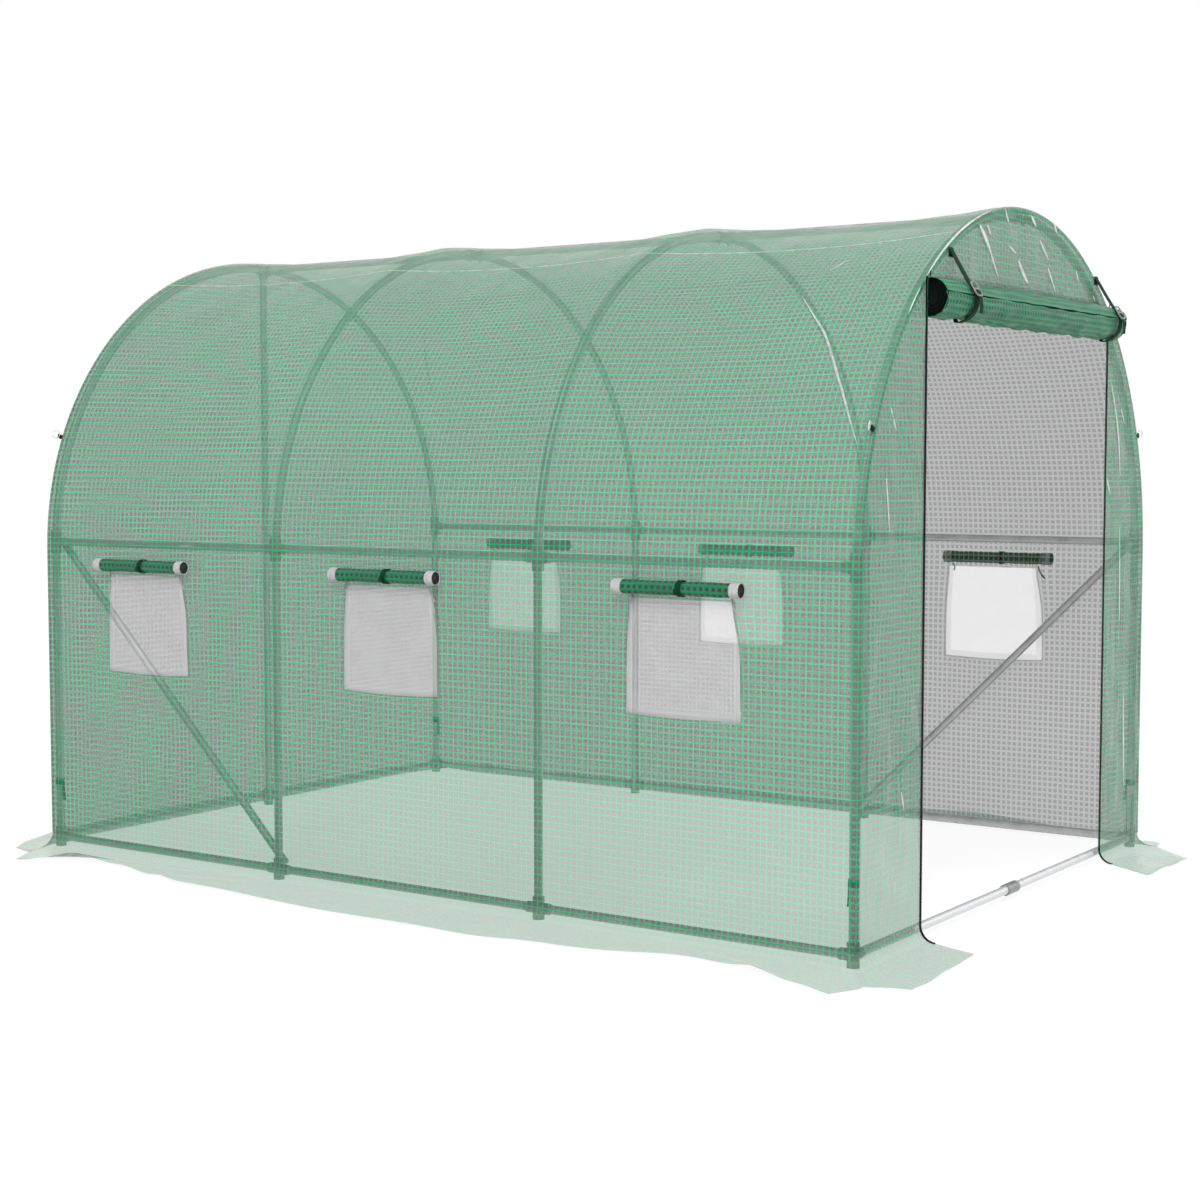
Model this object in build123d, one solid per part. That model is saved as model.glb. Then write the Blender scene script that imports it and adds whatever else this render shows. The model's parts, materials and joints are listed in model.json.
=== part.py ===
from build123d import *
import math
import os

# Polytunnel greenhouse: a hooped tube frame under a sewn film cover.
# Millimetres, +Z up.  +Y runs along the tunnel and the door end faces -Y.
# The origin is the middle of its footprint on the ground.

# Frame
hoop_half_width = 1010
shoulder_height = 1000
bay_length = 1000
bay_count = 3
tube_diameter = 25
sleeve_diameter = 34
sleeve_reach = 38
mid_rail_height = 1030
base_rail_height = 32
bolt_radius = 4
fit_gap = 0.2
bend_gap = 2.5

# Cover
cover_thickness = 3
cover_gap = 3
skirt_bend_radius = 45
doorway_width = 1320
doorway_height = 1790

# Door sheet, rolled up above the doorway, and its straps
door_roll_diameter = 112
door_roll_length = 1324
door_roll_middle = 5
door_roll_out = 10
door_roll_height = 1733
door_strap_places = (-490, 598)
door_strap_width = 26
door_strap_thickness = 2
door_strap_anchor = 1872
buckle_width = 34
buckle_height = 40
buckle_thickness = 7
zip_width = 12
zip_thickness = 1.5

# Windows, three on each long side, with their flaps rolled up above them
window_width = 360
window_sill = 615
window_head = 930
window_places = (-990, 30, 1050)
mesh_thickness = 1.5
window_roll_diameter = 43
window_roll_length = 400
window_roll_height = 962
window_strap_width = 26
window_strap_offset = -15
window_strap_thickness = 1.5

# Guy rings on the end hoops, and ties round the corner uprights
guy_ring_height = 1380
guy_ring_diameter = 28
guy_ring_wire = 2.6
tab_width = 14
tab_reach = 15
tab_thickness = 2
tie_height = 220
tie_width = 22
tie_thickness = 1.8
tie_tail = 60

# Outer edges of the side flaps as they lie, (y, distance out from the middle)
left_flap_edge = (
    (1420, 1272), (1300, 1215), (1110, 1150), (860, 1205), (600, 1250),
    (-220, 1288), (-690, 1260), (-1130, 1165), (-1370, 1225), (-1575, 1288),
)
right_flap_edge = (
    (1420, 1272), (1300, 1215), (1110, 1150), (860, 1205), (600, 1250),
    (-220, 1288), (-690, 1260), (-1130, 1165), (-1370, 1130), (-1575, 1100),
)
# Outer corners of the front flaps and outer edge of the rear flap, (x, y)
front_left_flap_edge = ((-1147, -1732), (-720, -1708))
front_right_flap_edge = ((544, -1729), (884, -1740))
rear_flap_edge = ((-1145, 1572), (-960, 1668), (-420, 1738), (330, 1716), (960, 1690), (1145, 1600))
# Where two flaps come together out from a corner of the tunnel, (distance out, y)
front_notch = (1192, -1622)
rear_notch = (1165, 1482)
notch_gap = 3

# Sizes that follow from those
tube_radius = tube_diameter / 2
bore_radius = tube_radius + fit_gap
bend_bore_radius = tube_radius + bend_gap
sleeve_radius = sleeve_diameter / 2
ridge_height = shoulder_height + hoop_half_width
half_length = bay_length * bay_count / 2
hoop_places = [bay_length * i - half_length for i in range(bay_count + 1)]
bar_inset = tube_radius + 2 * fit_gap
side_inside = hoop_half_width + sleeve_radius + cover_gap
side_outside = side_inside + cover_thickness
end_inside = half_length + sleeve_radius + cover_gap
end_outside = end_inside + cover_thickness
bend_height = skirt_bend_radius + cover_thickness
side_flat_start = side_outside + skirt_bend_radius
end_flat_start = end_outside + skirt_bend_radius
half_door = doorway_width / 2
door_roll_radius = door_roll_diameter / 2
door_roll_y = -(end_outside + door_roll_out)
door_roll_back = -(end_outside + door_strap_thickness + 2 * fit_gap)
window_roll_radius = window_roll_diameter / 2
window_roll_x = side_outside + window_strap_thickness + 2 * fit_gap + window_roll_radius
brace_x = hoop_half_width - sleeve_radius - tube_radius - 1


def save(name, *solids):
    """Write one node's solids to its own file."""
    shape = solids[0] if len(solids) == 1 else Compound(children=list(solids))
    shape.label = name
    export_step(shape, f"parts/{name}.step")


def rod(start, end, radius=tube_radius):
    """A straight round bar from one point to another."""
    run = Vector(*end) - Vector(*start)
    plane = Plane(origin=start, z_dir=run.normalized())
    return extrude(plane * Circle(radius), run.length)


def box(low, high):
    """A block between two corners."""
    size = [b - a for a, b in zip(low, high)]
    return Pos(*low) * Box(*size, align=(Align.MIN, Align.MIN, Align.MIN))


def along_y(face, low, high):
    """An outline drawn in (x, z), carried from one y to another."""
    return Pos(0, high, 0) * extrude(Plane.XZ * face, high - low)


def along_x(face, low, high):
    """An outline drawn in (y, z), carried from one x to another."""
    return Pos(low, 0, 0) * extrude(Plane.YZ * face, high - low)


def ring_sector(centre, inner, outer, start_angle, sweep):
    """The flat area between two arcs about one centre."""
    outside = CenterArc(centre, outer, start_angle, sweep)
    inside = CenterArc(centre, inner, start_angle, sweep)
    return make_face([
        outside,
        Line(outside @ 1, inside @ 1),
        inside,
        Line(inside @ 0, outside @ 0),
    ])


def arch(place, side, radius, low_angle, high_angle):
    """A bent round bar of one hoop, between two angles up from the shoulder."""
    tilt = math.radians(low_angle)
    across = side * hoop_half_width * math.cos(tilt)
    height = shoulder_height + hoop_half_width * math.sin(tilt)
    direction = (-side * math.sin(tilt), 0, math.cos(tilt))
    section = Plane(origin=(across, place, height), z_dir=direction) * Circle(radius)
    axis = Axis((0, place, shoulder_height), (0, -side, 0))
    return revolve(section, axis, high_angle - low_angle)


def hoop(place):
    """Two uprights, and two bent bars a side that meet halfway up the roof and at the ridge."""
    ridge_angle = 90 - math.degrees(fit_gap / hoop_half_width)
    pieces = []
    for side in (-1, 1):
        x = side * hoop_half_width
        pieces.append(rod((x, place, 0), (x, place, shoulder_height)))
        pieces.append(arch(place, side, tube_radius, 0, 45))
        pieces.append(arch(place, side, tube_radius, 45, ridge_angle))
    return pieces


def rail(x, z):
    """The lengths of one rail, each between two hoops."""
    return [
        rod((x, near + bar_inset, z), (x, far - bar_inset, z))
        for near, far in zip(hoop_places[:-1], hoop_places[1:])
    ]


def inward_ends(place):
    """The directions along the tunnel in which a hoop has a neighbour."""
    return [step for step in (-1, 1) if abs(place + step * bay_length) <= half_length]


def sleeve_joint(centre, arms, bores):
    """Short sleeves that cross at one point, bored for the bars that they hold.

    An arm is a pair of offsets from the centre, one for each of its ends.  Each
    sleeve is a step thinner than the one before, as pressed sleeves nest.
    """
    sleeves = [
        rod(Vector(*centre) + Vector(*low), Vector(*centre) + Vector(*high), sleeve_radius - step)
        for step, (low, high) in enumerate(arms)
    ]
    body = sleeves[0]
    for sleeve in sleeves[1:]:
        body = body + sleeve
    for bore in bores:
        body = body - bore
    return body


def arm_along_tunnel(place):
    """The sleeve that holds the rails on the inward sides of a hoop."""
    steps = inward_ends(place)
    low = (0, -sleeve_reach if -1 in steps else 0, 0)
    return low, (0, sleeve_reach if 1 in steps else 0, 0)


def ridge_joint(place):
    """The cross at the top of a hoop; the rear one also takes the centre post."""
    centre = (0, place, ridge_height)
    arms = [((-sleeve_reach, 0, 0), (sleeve_reach, 0, 0)), arm_along_tunnel(place)]
    reach = 2 * sleeve_reach
    bores = [rod((-reach, place, ridge_height), (reach, place, ridge_height), bend_bore_radius)]
    for step in inward_ends(place):
        tip = (0, place + step * bay_length / 2, ridge_height)
        bores.append(rod(centre, tip, bore_radius))
    if place == hoop_places[-1]:
        arms.append(((0, 0, 0), (0, 0, -sleeve_reach)))
        bores.append(rod(centre, (0, place, shoulder_height), bore_radius - fit_gap / 2))
    return sleeve_joint(centre, arms, bores)


def shoulder_joint(place, side):
    """The cross where an upright, its bent bar and the mid rail meet."""
    x = side * hoop_half_width
    centre = (x, place, mid_rail_height)
    arms = [((0, 0, -sleeve_reach), (0, 0, sleeve_reach)), arm_along_tunnel(place)]
    reach = 2 * sleeve_reach
    low = (x, place, mid_rail_height - reach)
    bores = [rod(low, (x, place, mid_rail_height + reach), bend_bore_radius)]
    for step in inward_ends(place):
        tip = (x, place + step * bay_length / 2, mid_rail_height)
        bores.append(rod(centre, tip, bore_radius))
    return sleeve_joint(centre, arms, bores)


def foot_joint(place, side):
    """The joint at the foot of an upright; a corner one also takes an end rail."""
    x = side * hoop_half_width
    centre = (x, place, base_rail_height)
    arms = [((0, 0, -base_rail_height), (0, 0, base_rail_height)), arm_along_tunnel(place)]
    bores = [rod((x, place, -1), (x, place, shoulder_height), bore_radius + fit_gap)]
    for step in inward_ends(place):
        tip = (x, place + step * bay_length / 2, base_rail_height)
        bores.append(rod(centre, tip, bore_radius))
    if abs(place) == half_length:
        arms.append(((0, 0, 0), (-side * sleeve_reach, 0, 0)))
        bores.append(rod(centre, (0, place, base_rail_height), bore_radius - fit_gap / 2))
    return sleeve_joint(centre, arms, bores)


def end_base_rail(place):
    """The two lengths of a base rail across one end."""
    return [
        rod(
            (side * (hoop_half_width - bar_inset), place, base_rail_height),
            (side * bar_inset, place, base_rail_height),
        )
        for side in (-1, 1)
    ]


def brace(side, upper_place, lower_place):
    """A diagonal bar inside the uprights, bolted to two of them."""
    top = (upper_place, mid_rail_height)
    foot = (lower_place, base_rail_height + tube_radius)
    bar = rod((side * brace_x, *top), (side * brace_x, *foot))
    for end in (top, foot):
        bolt_end = (side * (hoop_half_width - sleeve_radius - fit_gap), *end)
        bar = bar + rod((side * brace_x, *end), bolt_end, bolt_radius)
    return bar


def roof_cover(side):
    """One slope of the cover over the arches, from shoulder to ridge."""
    start_angle = 90 if side < 0 else 0
    face = ring_sector((0, shoulder_height), side_inside, side_outside, start_angle, 90)
    return along_y(face, -end_inside, end_inside)


def side_cover(side):
    """One long wall of the cover, with its three windows cut through."""
    near, far = sorted((side * side_inside, side * side_outside))
    wall = box((near, -end_inside, bend_height), (far, end_inside, shoulder_height))
    for place in window_places:
        low = (near - 1, place - window_width / 2, window_sill)
        high = (far + 1, place + window_width / 2, window_head)
        wall = wall - box(low, high)
    return wall


def gable_outline():
    """The outline of an end wall above the bend of its skirt."""
    width = 2 * side_outside
    wall = Pos(0, (bend_height + shoulder_height) / 2) * Rectangle(width, shoulder_height - bend_height)
    return wall + Pos(0, shoulder_height) * Circle(side_outside)


def gable_part(left, right, bottom):
    """The part of the gable outline between two upright lines and above a level."""
    top = shoulder_height + side_outside + 1
    window = Pos((left + right) / 2, (bottom + top) / 2) * Rectangle(right - left, top - bottom)
    return gable_outline() & window


def skirt_bend(side, flat_start):
    """The curve in which a wall of the cover turns out onto the ground."""
    start_angle = 180 if side > 0 else -90
    inner = skirt_bend_radius
    return ring_sector((side * flat_start, bend_height), inner, inner + cover_thickness, start_angle, 90)


def ground_flap(edges):
    """A flat piece of the cover that lies on the ground."""
    return extrude(make_face(edges), cover_thickness, dir=(0, 0, 1))


def side_skirt(side):
    """The bend and the wavy flap along one long side."""
    outer = Spline(*[(side * out, y) for y, out in (left_flap_edge if side < 0 else right_flap_edge)])
    inner = Line((side * side_flat_start, -end_inside), (side * side_flat_start, end_inside))
    front = Line(outer @ 1, inner @ 0)
    if side < 0:
        notch = (side * front_notch[0], front_notch[1] + notch_gap)
        front = Polyline(outer @ 1, notch, inner @ 0)
    notch = (side * rear_notch[0], rear_notch[1] - notch_gap)
    flap = ground_flap([outer, front, inner, Polyline(inner @ 1, notch, outer @ 0)])
    return along_y(skirt_bend(side, side_flat_start), -end_inside, end_inside) + flap


def end_skirt(side, left, right, outer, left_notch=None, right_notch=None):
    """The bend and the flap of one end wall between two upright lines."""
    inner = Line((right, side * end_flat_start), (left, side * end_flat_start))
    closing = Line(outer @ 1, inner @ 0)
    opening = Line(inner @ 1, outer @ 0)
    if right_notch:
        closing = Polyline(outer @ 1, right_notch, inner @ 0)
    if left_notch:
        opening = Polyline(inner @ 1, left_notch, outer @ 0)
    flap = ground_flap([outer, closing, inner, opening])
    return along_x(skirt_bend(side, end_flat_start), left, right) + flap


def roll_section(radius, back):
    """The door roll's section: a circle cut off at its flat back, in the plane across the doorway."""
    size = 4 * radius
    behind = Pos(back + size / 2, door_roll_height) * Rectangle(size, size)
    return Pos(door_roll_y, door_roll_height) * Circle(radius) - behind


def door_strap(x):
    """A loop round the door roll, with the length that runs up to the gable."""
    inside = door_roll_radius + fit_gap
    outside = inside + door_strap_thickness
    loop = roll_section(outside, -end_outside - fit_gap) - roll_section(inside, door_roll_back + fit_gap)
    lean = math.atan2(door_strap_anchor - door_roll_height, -end_outside - door_roll_y)
    spread = math.hypot(door_strap_anchor - door_roll_height, -end_outside - door_roll_y)
    touch = lean + math.acos(outside / spread)
    normal = Vector(math.cos(touch), math.sin(touch))
    foot = Vector(door_roll_y, door_roll_height) + normal * outside
    top = Vector(-end_outside - 2 * door_strap_thickness, door_strap_anchor)
    inset = normal * door_strap_thickness
    run = make_face(Polyline(foot, top, top - inset, foot - inset, close=True))
    half = door_strap_width / 2
    return along_x(loop + run, x - half, x + half)


def door_buckle(x):
    """A plain slide buckle lying on the strap where it meets the roll."""
    distance = door_roll_radius + door_strap_thickness + buckle_thickness
    buckle = Box(buckle_width, buckle_height, buckle_thickness)
    return Pos(x, door_roll_y, door_roll_height) * Rot(60, 0, 0) * Pos(0, 0, distance) * buckle


def door_zip(side):
    """The zip down one edge of the doorway and out over the bend of the skirt."""
    radius = skirt_bend_radius - zip_thickness
    centre = (-end_flat_start, bend_height)
    bend = ring_sector(centre, radius, skirt_bend_radius, -90, 90)
    low, high = sorted((side * half_door, side * (half_door + zip_width)))
    upright = box(
        (low, -end_outside - zip_thickness, bend_height),
        (high, -end_outside, doorway_height - fit_gap),
    )
    return along_x(bend, low, high) + upright


def window_strap(side, place):
    """A band round a rolled window flap."""
    inside = window_roll_radius + fit_gap
    band = Circle(inside + window_strap_thickness) - Circle(inside)
    low = place + window_strap_offset - window_strap_width / 2
    return along_y(Pos(side * window_roll_x, window_roll_height) * band, low, low + window_strap_width)


def guy_places():
    """The four ring places, as (side, y, angle up from the shoulder)."""
    angle = math.asin((guy_ring_height - shoulder_height) / side_outside)
    ends = (hoop_places[0], hoop_places[-1])
    return [(side, place, angle) for side in (-1, 1) for place in ends]


def guy_ring(side, place, angle):
    """A thin round ring that stands out from its tab."""
    major = (guy_ring_diameter - guy_ring_wire) / 2
    reach = side_outside + tab_reach + major - 2 * guy_ring_wire
    centre = (side * reach * math.cos(angle), place, shoulder_height + reach * math.sin(angle))
    plane = Plane(origin=centre, z_dir=(-side * math.sin(angle), 0, math.cos(angle)))
    return plane * Torus(major, guy_ring_wire / 2)


def guy_tab(side, place, angle):
    """The short webbing tab that holds one ring."""
    middle = side_outside + fit_gap + tab_reach / 2
    centre = (side * middle * math.cos(angle), place, shoulder_height + middle * math.sin(angle))
    plane = Plane(
        origin=centre,
        x_dir=(0, 1, 0),
        z_dir=(-side * math.sin(angle), 0, math.cos(angle)),
    )
    tab = plane * Box(tab_width, tab_reach, 3 * tab_thickness)
    return tab - guy_ring_clearance(side, place, angle)


def guy_ring_clearance(side, place, angle):
    """The hole that a ring needs through its tab."""
    major = (guy_ring_diameter - guy_ring_wire) / 2
    reach = side_outside + tab_reach + major - 2 * guy_ring_wire
    centre = (side * reach * math.cos(angle), place, shoulder_height + reach * math.sin(angle))
    plane = Plane(origin=centre, z_dir=(-side * math.sin(angle), 0, math.cos(angle)))
    return plane * Torus(major, guy_ring_wire / 2 + fit_gap)


def cover_tie(side, place):
    """A strap tied round a corner upright, with its tail hanging."""
    inside = tube_radius + fit_gap
    band = Pos(side * hoop_half_width, place) * (Circle(inside + tie_thickness) - Circle(inside))
    loop = Pos(0, 0, tie_height - tie_width / 2) * extrude(band, tie_width)
    inward = -1 if place > 0 else 1
    near = place + inward * inside
    low, high = sorted((near, near + inward * tie_thickness))
    x = side * hoop_half_width
    tail = box(
        (x - tie_width / 4, low, tie_height - tie_width / 2 - tie_tail),
        (x + tie_width / 4, high, tie_height),
    )
    return loop + tail


def rear_centre_post():
    """The post from the ridge of the rear hoop to the ground."""
    y = hoop_places[-1]
    return rod((0, y, 0), (0, y, ridge_height - bar_inset))


def front_rail_joint():
    """The sleeve that joins the two lengths across the doorway."""
    y = hoop_places[0]
    centre = (0, y, base_rail_height)
    arms = [((-sleeve_reach, 0, 0), (sleeve_reach, 0, 0))]
    bore = rod((-sleeve_reach, y, base_rail_height), (sleeve_reach, y, base_rail_height), bore_radius)
    return sleeve_joint(centre, arms, [bore])


def rear_rail_joint():
    """The tee where the rear base rail meets the centre post."""
    y = hoop_places[-1]
    centre = (0, y, base_rail_height)
    arms = [
        ((0, 0, -base_rail_height), (0, 0, base_rail_height)),
        ((-sleeve_reach, 0, 0), (sleeve_reach, 0, 0)),
    ]
    bores = [
        rod((-sleeve_reach, y, base_rail_height), (sleeve_reach, y, base_rail_height), bore_radius),
        rod((0, y, -1), (0, y, shoulder_height), bore_radius + fit_gap),
    ]
    return sleeve_joint(centre, arms, bores)


def window_meshes(side):
    """The nets that close the windows of one side."""
    middle = (side_inside + side_outside) / 2
    near, far = sorted((side * (middle - mesh_thickness / 2), side * (middle + mesh_thickness / 2)))
    half = window_width / 2
    return [
        box((near, place - half, window_sill), (far, place + half, window_head))
        for place in window_places
    ]


def window_rolls(side):
    """The rolled-up flaps above the windows of one side."""
    x = side * window_roll_x
    half = window_roll_length / 2
    return [
        rod((x, place - half, window_roll_height), (x, place + half, window_roll_height), window_roll_radius)
        for place in window_places
    ]


def door_roll():
    """The door sheet as it lies rolled up over the doorway, pressed flat against the gable."""
    low = door_roll_middle - door_roll_length / 2
    return along_x(roll_section(door_roll_radius, door_roll_back), low, low + door_roll_length)


def main():
    os.makedirs("parts", exist_ok=True)
    for name, place in zip(("front", "second", "third", "rear"), hoop_places):
        save(f"{name}_hoop", *hoop(place))
    for name, side in (("left", -1), ("right", 1)):
        x = side * hoop_half_width
        save(f"{name}_mid_rail", *rail(x, mid_rail_height))
        save(f"{name}_base_rail", *rail(x, base_rail_height))
        save(f"{name}_shoulder_joints", *[shoulder_joint(place, side) for place in hoop_places])
        save(f"{name}_foot_joints", *[foot_joint(place, side) for place in hoop_places])
        save(f"{name}_roof_cover", roof_cover(side))
        save(f"{name}_side_cover", side_cover(side))
        save(f"{name}_skirt", side_skirt(side))
        save(f"{name}_window_meshes", *window_meshes(side))
        save(f"{name}_window_rolls", *window_rolls(side))
    sides = (-1, 1)
    save("window_straps", *[window_strap(side, place) for side in sides for place in window_places])
    save("ridge_rail", *rail(0, ridge_height))
    save("ridge_joints", *[ridge_joint(place) for place in hoop_places])
    save("front_base_rail", *end_base_rail(hoop_places[0]))
    save("rear_base_rail", *end_base_rail(hoop_places[-1]))
    save("rear_centre_post", rear_centre_post())
    save("base_rail_joints", front_rail_joint(), rear_rail_joint())
    save("left_brace", brace(-1, hoop_places[-1], hoop_places[-2]))
    save("right_brace", brace(1, hoop_places[0], hoop_places[1]))

    front = (-end_outside, -end_inside)
    save("front_left_panel", along_y(gable_part(-side_outside, -half_door, bend_height), *front))
    save("front_right_panel", along_y(gable_part(half_door, side_outside, bend_height), *front))
    save("front_header", along_y(gable_part(-half_door, half_door, doorway_height), *front))
    rear_outline = gable_part(-side_outside, side_outside, bend_height)
    save("rear_gable_cover", along_y(rear_outline, end_inside, end_outside))
    left_edge = Line(*front_left_flap_edge)
    right_edge = Line(*front_right_flap_edge)
    front_left_notch = (-front_notch[0], front_notch[1] - notch_gap)
    save("front_left_skirt", end_skirt(-1, -side_outside, -half_door, left_edge, front_left_notch))
    save("front_right_skirt", end_skirt(-1, half_door, side_outside, right_edge))
    rear_notches = [(side * rear_notch[0], rear_notch[1] + notch_gap) for side in (-1, 1)]
    save("rear_skirt", end_skirt(1, -side_outside, side_outside, Spline(*rear_flap_edge), *rear_notches))

    save("door_roll", door_roll())
    save("door_straps", *[door_strap(x) for x in door_strap_places])
    save("door_buckles", *[door_buckle(x) for x in door_strap_places])
    save("door_zips", *[door_zip(side) for side in sides])
    save("guy_tabs", *[guy_tab(*place) for place in guy_places()])
    save("guy_rings", *[guy_ring(*place) for place in guy_places()])
    ends = (hoop_places[0], hoop_places[-1])
    save("cover_ties", *[cover_tie(side, place) for side in sides for place in ends])


main()
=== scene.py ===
"""Polytunnel greenhouse: film cover, nets, rolls, straps, zips and rings around the tube frame.

Metres, +Z up.  +Y runs along the tunnel and the door end faces -Y.
"""
import json
import math

import bmesh
import bpy
import numpy as np
from mathutils import Matrix, Vector


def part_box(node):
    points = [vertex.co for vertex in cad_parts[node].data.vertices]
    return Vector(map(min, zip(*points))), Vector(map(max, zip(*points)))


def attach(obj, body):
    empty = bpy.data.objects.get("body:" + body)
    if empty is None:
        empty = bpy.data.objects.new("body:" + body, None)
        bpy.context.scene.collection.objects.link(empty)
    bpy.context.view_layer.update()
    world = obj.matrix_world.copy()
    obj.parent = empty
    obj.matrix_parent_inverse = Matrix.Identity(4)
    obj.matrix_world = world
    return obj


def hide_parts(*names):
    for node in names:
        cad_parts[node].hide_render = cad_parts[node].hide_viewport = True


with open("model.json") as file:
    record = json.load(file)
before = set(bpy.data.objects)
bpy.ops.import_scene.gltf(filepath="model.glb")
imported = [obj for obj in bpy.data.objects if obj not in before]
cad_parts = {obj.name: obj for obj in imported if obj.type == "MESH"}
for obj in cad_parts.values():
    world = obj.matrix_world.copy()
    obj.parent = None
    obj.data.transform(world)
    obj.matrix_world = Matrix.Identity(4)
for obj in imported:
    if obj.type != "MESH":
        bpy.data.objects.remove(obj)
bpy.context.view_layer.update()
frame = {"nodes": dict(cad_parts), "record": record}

bl_info = {
    "name": "Polytunnel greenhouse",
    "version": (1, 0, 0),
    "blender": (4, 5, 0),
    "location": "3D View > Sidebar > Polytunnel",
    "description": "Makes the film cover, nets, rolls and trim of a polytunnel greenhouse",
    "category": "Object",
}

TAU = 2 * math.pi
QUARTER = math.pi / 2
X_AXIS, Y_AXIS, Z_AXIS = np.eye(3)
BODY = "root"
MM = 0.001
EDGE_COLOUR = (0.012, 0.016, 0.014)  # the dark webbing of straps' edges, tabs and ties

# Places that the tube frame and the cover's solids give
ROOF_LOW, ROOF_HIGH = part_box("left_roof_cover")
SHOULDER = ROOF_LOW.z
COVER_RADIUS = ROOF_HIGH.z - SHOULDER
END_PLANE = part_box("rear_gable_cover")[1].y
BEND_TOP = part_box("left_side_cover")[0].z
DOOR_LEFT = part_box("front_left_panel")[1].x
DOOR_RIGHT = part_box("front_right_panel")[0].x
HEADER_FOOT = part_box("front_header")[0].z
FOLD = 0.007  # radius in which the long sheet curls over the end hoops
HEM = 0.007  # width in which it then lies on the end walls
CURL_START = END_PLANE - FOLD
HOOP_PLACES = [sum(p.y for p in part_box(f"{n}_hoop")) / 2 for n in ("front", "second", "third", "rear")]


def box_middle(node):
    """The middle of a node's box."""
    low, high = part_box(node)
    return (low + high) / 2


# Property groups

COLOUR = {"min": 0, "max": 1, "size": 3, "subtype": "COLOR"}


class FilmSettings(bpy.types.PropertyGroup):
    """Sizes and colours of the film and its woven grid."""

    pitch: bpy.props.FloatProperty(
        name="Grid pitch", description="Distance between two tapes of the woven grid",
        default=0.019, min=0.004, max=0.1, unit="LENGTH", precision=4)
    tape: bpy.props.FloatProperty(
        name="Tape width", description="Width of one tape of the woven grid",
        default=0.0070, min=0.001, max=0.05, unit="LENGTH", precision=4)
    thickness: bpy.props.FloatProperty(
        name="Film thickness", description="Thickness of the film",
        default=0.0008, min=0.0002, max=0.003, unit="LENGTH", precision=4)
    tape_colour: bpy.props.FloatVectorProperty(
        name="Tape colour", description="Colour of the tapes from outside",
        default=(0.0, 0.45, 0.185), **COLOUR)
    clear_colour: bpy.props.FloatVectorProperty(
        name="Clear colour", description="Colour of the squares between the tapes",
        default=(0.22, 0.125, 0.165), **COLOUR)
    # The creases' colour is a painted highlight along them.
    crease_highlight_colour: bpy.props.FloatVectorProperty(
        name="Crease colour", description="Colour of sharp creases, where the film has gone white",
        default=(0.95, 1.0, 0.97), **COLOUR)
    inner_tape_colour: bpy.props.FloatVectorProperty(
        name="Inner tape colour", description="Colour of the tapes from inside the tunnel",
        default=(0.17, 0.19, 0.18), **COLOUR)
    inner_clear_colour: bpy.props.FloatVectorProperty(
        name="Inner clear colour", description="Colour of the squares from inside the tunnel",
        default=(0.015, 0.016, 0.015), **COLOUR)
    roof_sag: bpy.props.FloatProperty(
        name="Roof sag", description="How far the film hangs in between two hoops at the ridge",
        default=0.024, min=0, max=0.1, unit="LENGTH", precision=3)
    wall_sag: bpy.props.FloatProperty(
        name="Wall sag", description="How far the film draws in between two uprights",
        default=0.006, min=0, max=0.05, unit="LENGTH", precision=3)


class SkirtSettings(bpy.types.PropertyGroup):
    """Sizes of the part of the cover that lies on the ground."""

    bend: bpy.props.FloatProperty(
        name="Bend radius", description="Radius in which the walls turn out onto the ground",
        default=0.045, min=0.01, max=0.2, unit="LENGTH", precision=3)
    lift: bpy.props.FloatProperty(
        name="Lift", description="Height of the waves along the flaps",
        default=0.024, min=0, max=0.1, unit="LENGTH", precision=3)


class WindowSettings(bpy.types.PropertyGroup):
    """Sizes and colours of the windows and their rolled-up flaps."""

    border: bpy.props.FloatProperty(
        name="Border", description="Width of the sewn border round each net",
        default=0.020, min=0.005, max=0.05, unit="LENGTH", precision=3)
    bow: bpy.props.FloatProperty(
        name="Bow", description="How far the sill of each window hangs down in its middle",
        default=0.007, min=0, max=0.03, unit="LENGTH", precision=3)
    net_colour: bpy.props.FloatVectorProperty(
        name="Net colour", description="Colour of the net",
        default=(0.70, 0.70, 0.70), **COLOUR)
    border_colour: bpy.props.FloatVectorProperty(
        name="Border colour", description="Colour of the border round each net",
        default=(0.66, 0.67, 0.665), **COLOUR)
    end_band: bpy.props.FloatProperty(
        name="End band", description="Width of the pale sleeve at each end of a rolled flap",
        default=0.030, min=0.005, max=0.08, unit="LENGTH", precision=3)
    end_colour: bpy.props.FloatVectorProperty(
        name="End colour", description="Colour of the sleeves on the ends of a rolled flap",
        default=(0.50, 0.49, 0.49), **COLOUR)


class RollSettings(bpy.types.PropertyGroup):
    """Sizes and colours of the rolled-up door and window flaps."""

    tape_colour: bpy.props.FloatVectorProperty(
        name="Roll tapes", description="Colour of the tapes where many layers lie together",
        default=(0.010, 0.165, 0.075), **COLOUR)
    clear_colour: bpy.props.FloatVectorProperty(
        name="Roll squares", description="Colour of the squares where many layers lie together",
        default=(0.045, 0.055, 0.050), **COLOUR)
    creases: bpy.props.FloatProperty(
        name="Creases", description="Depth of the creases in the rolled door",
        default=0.0024, min=0, max=0.01, unit="LENGTH", precision=4)


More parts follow.
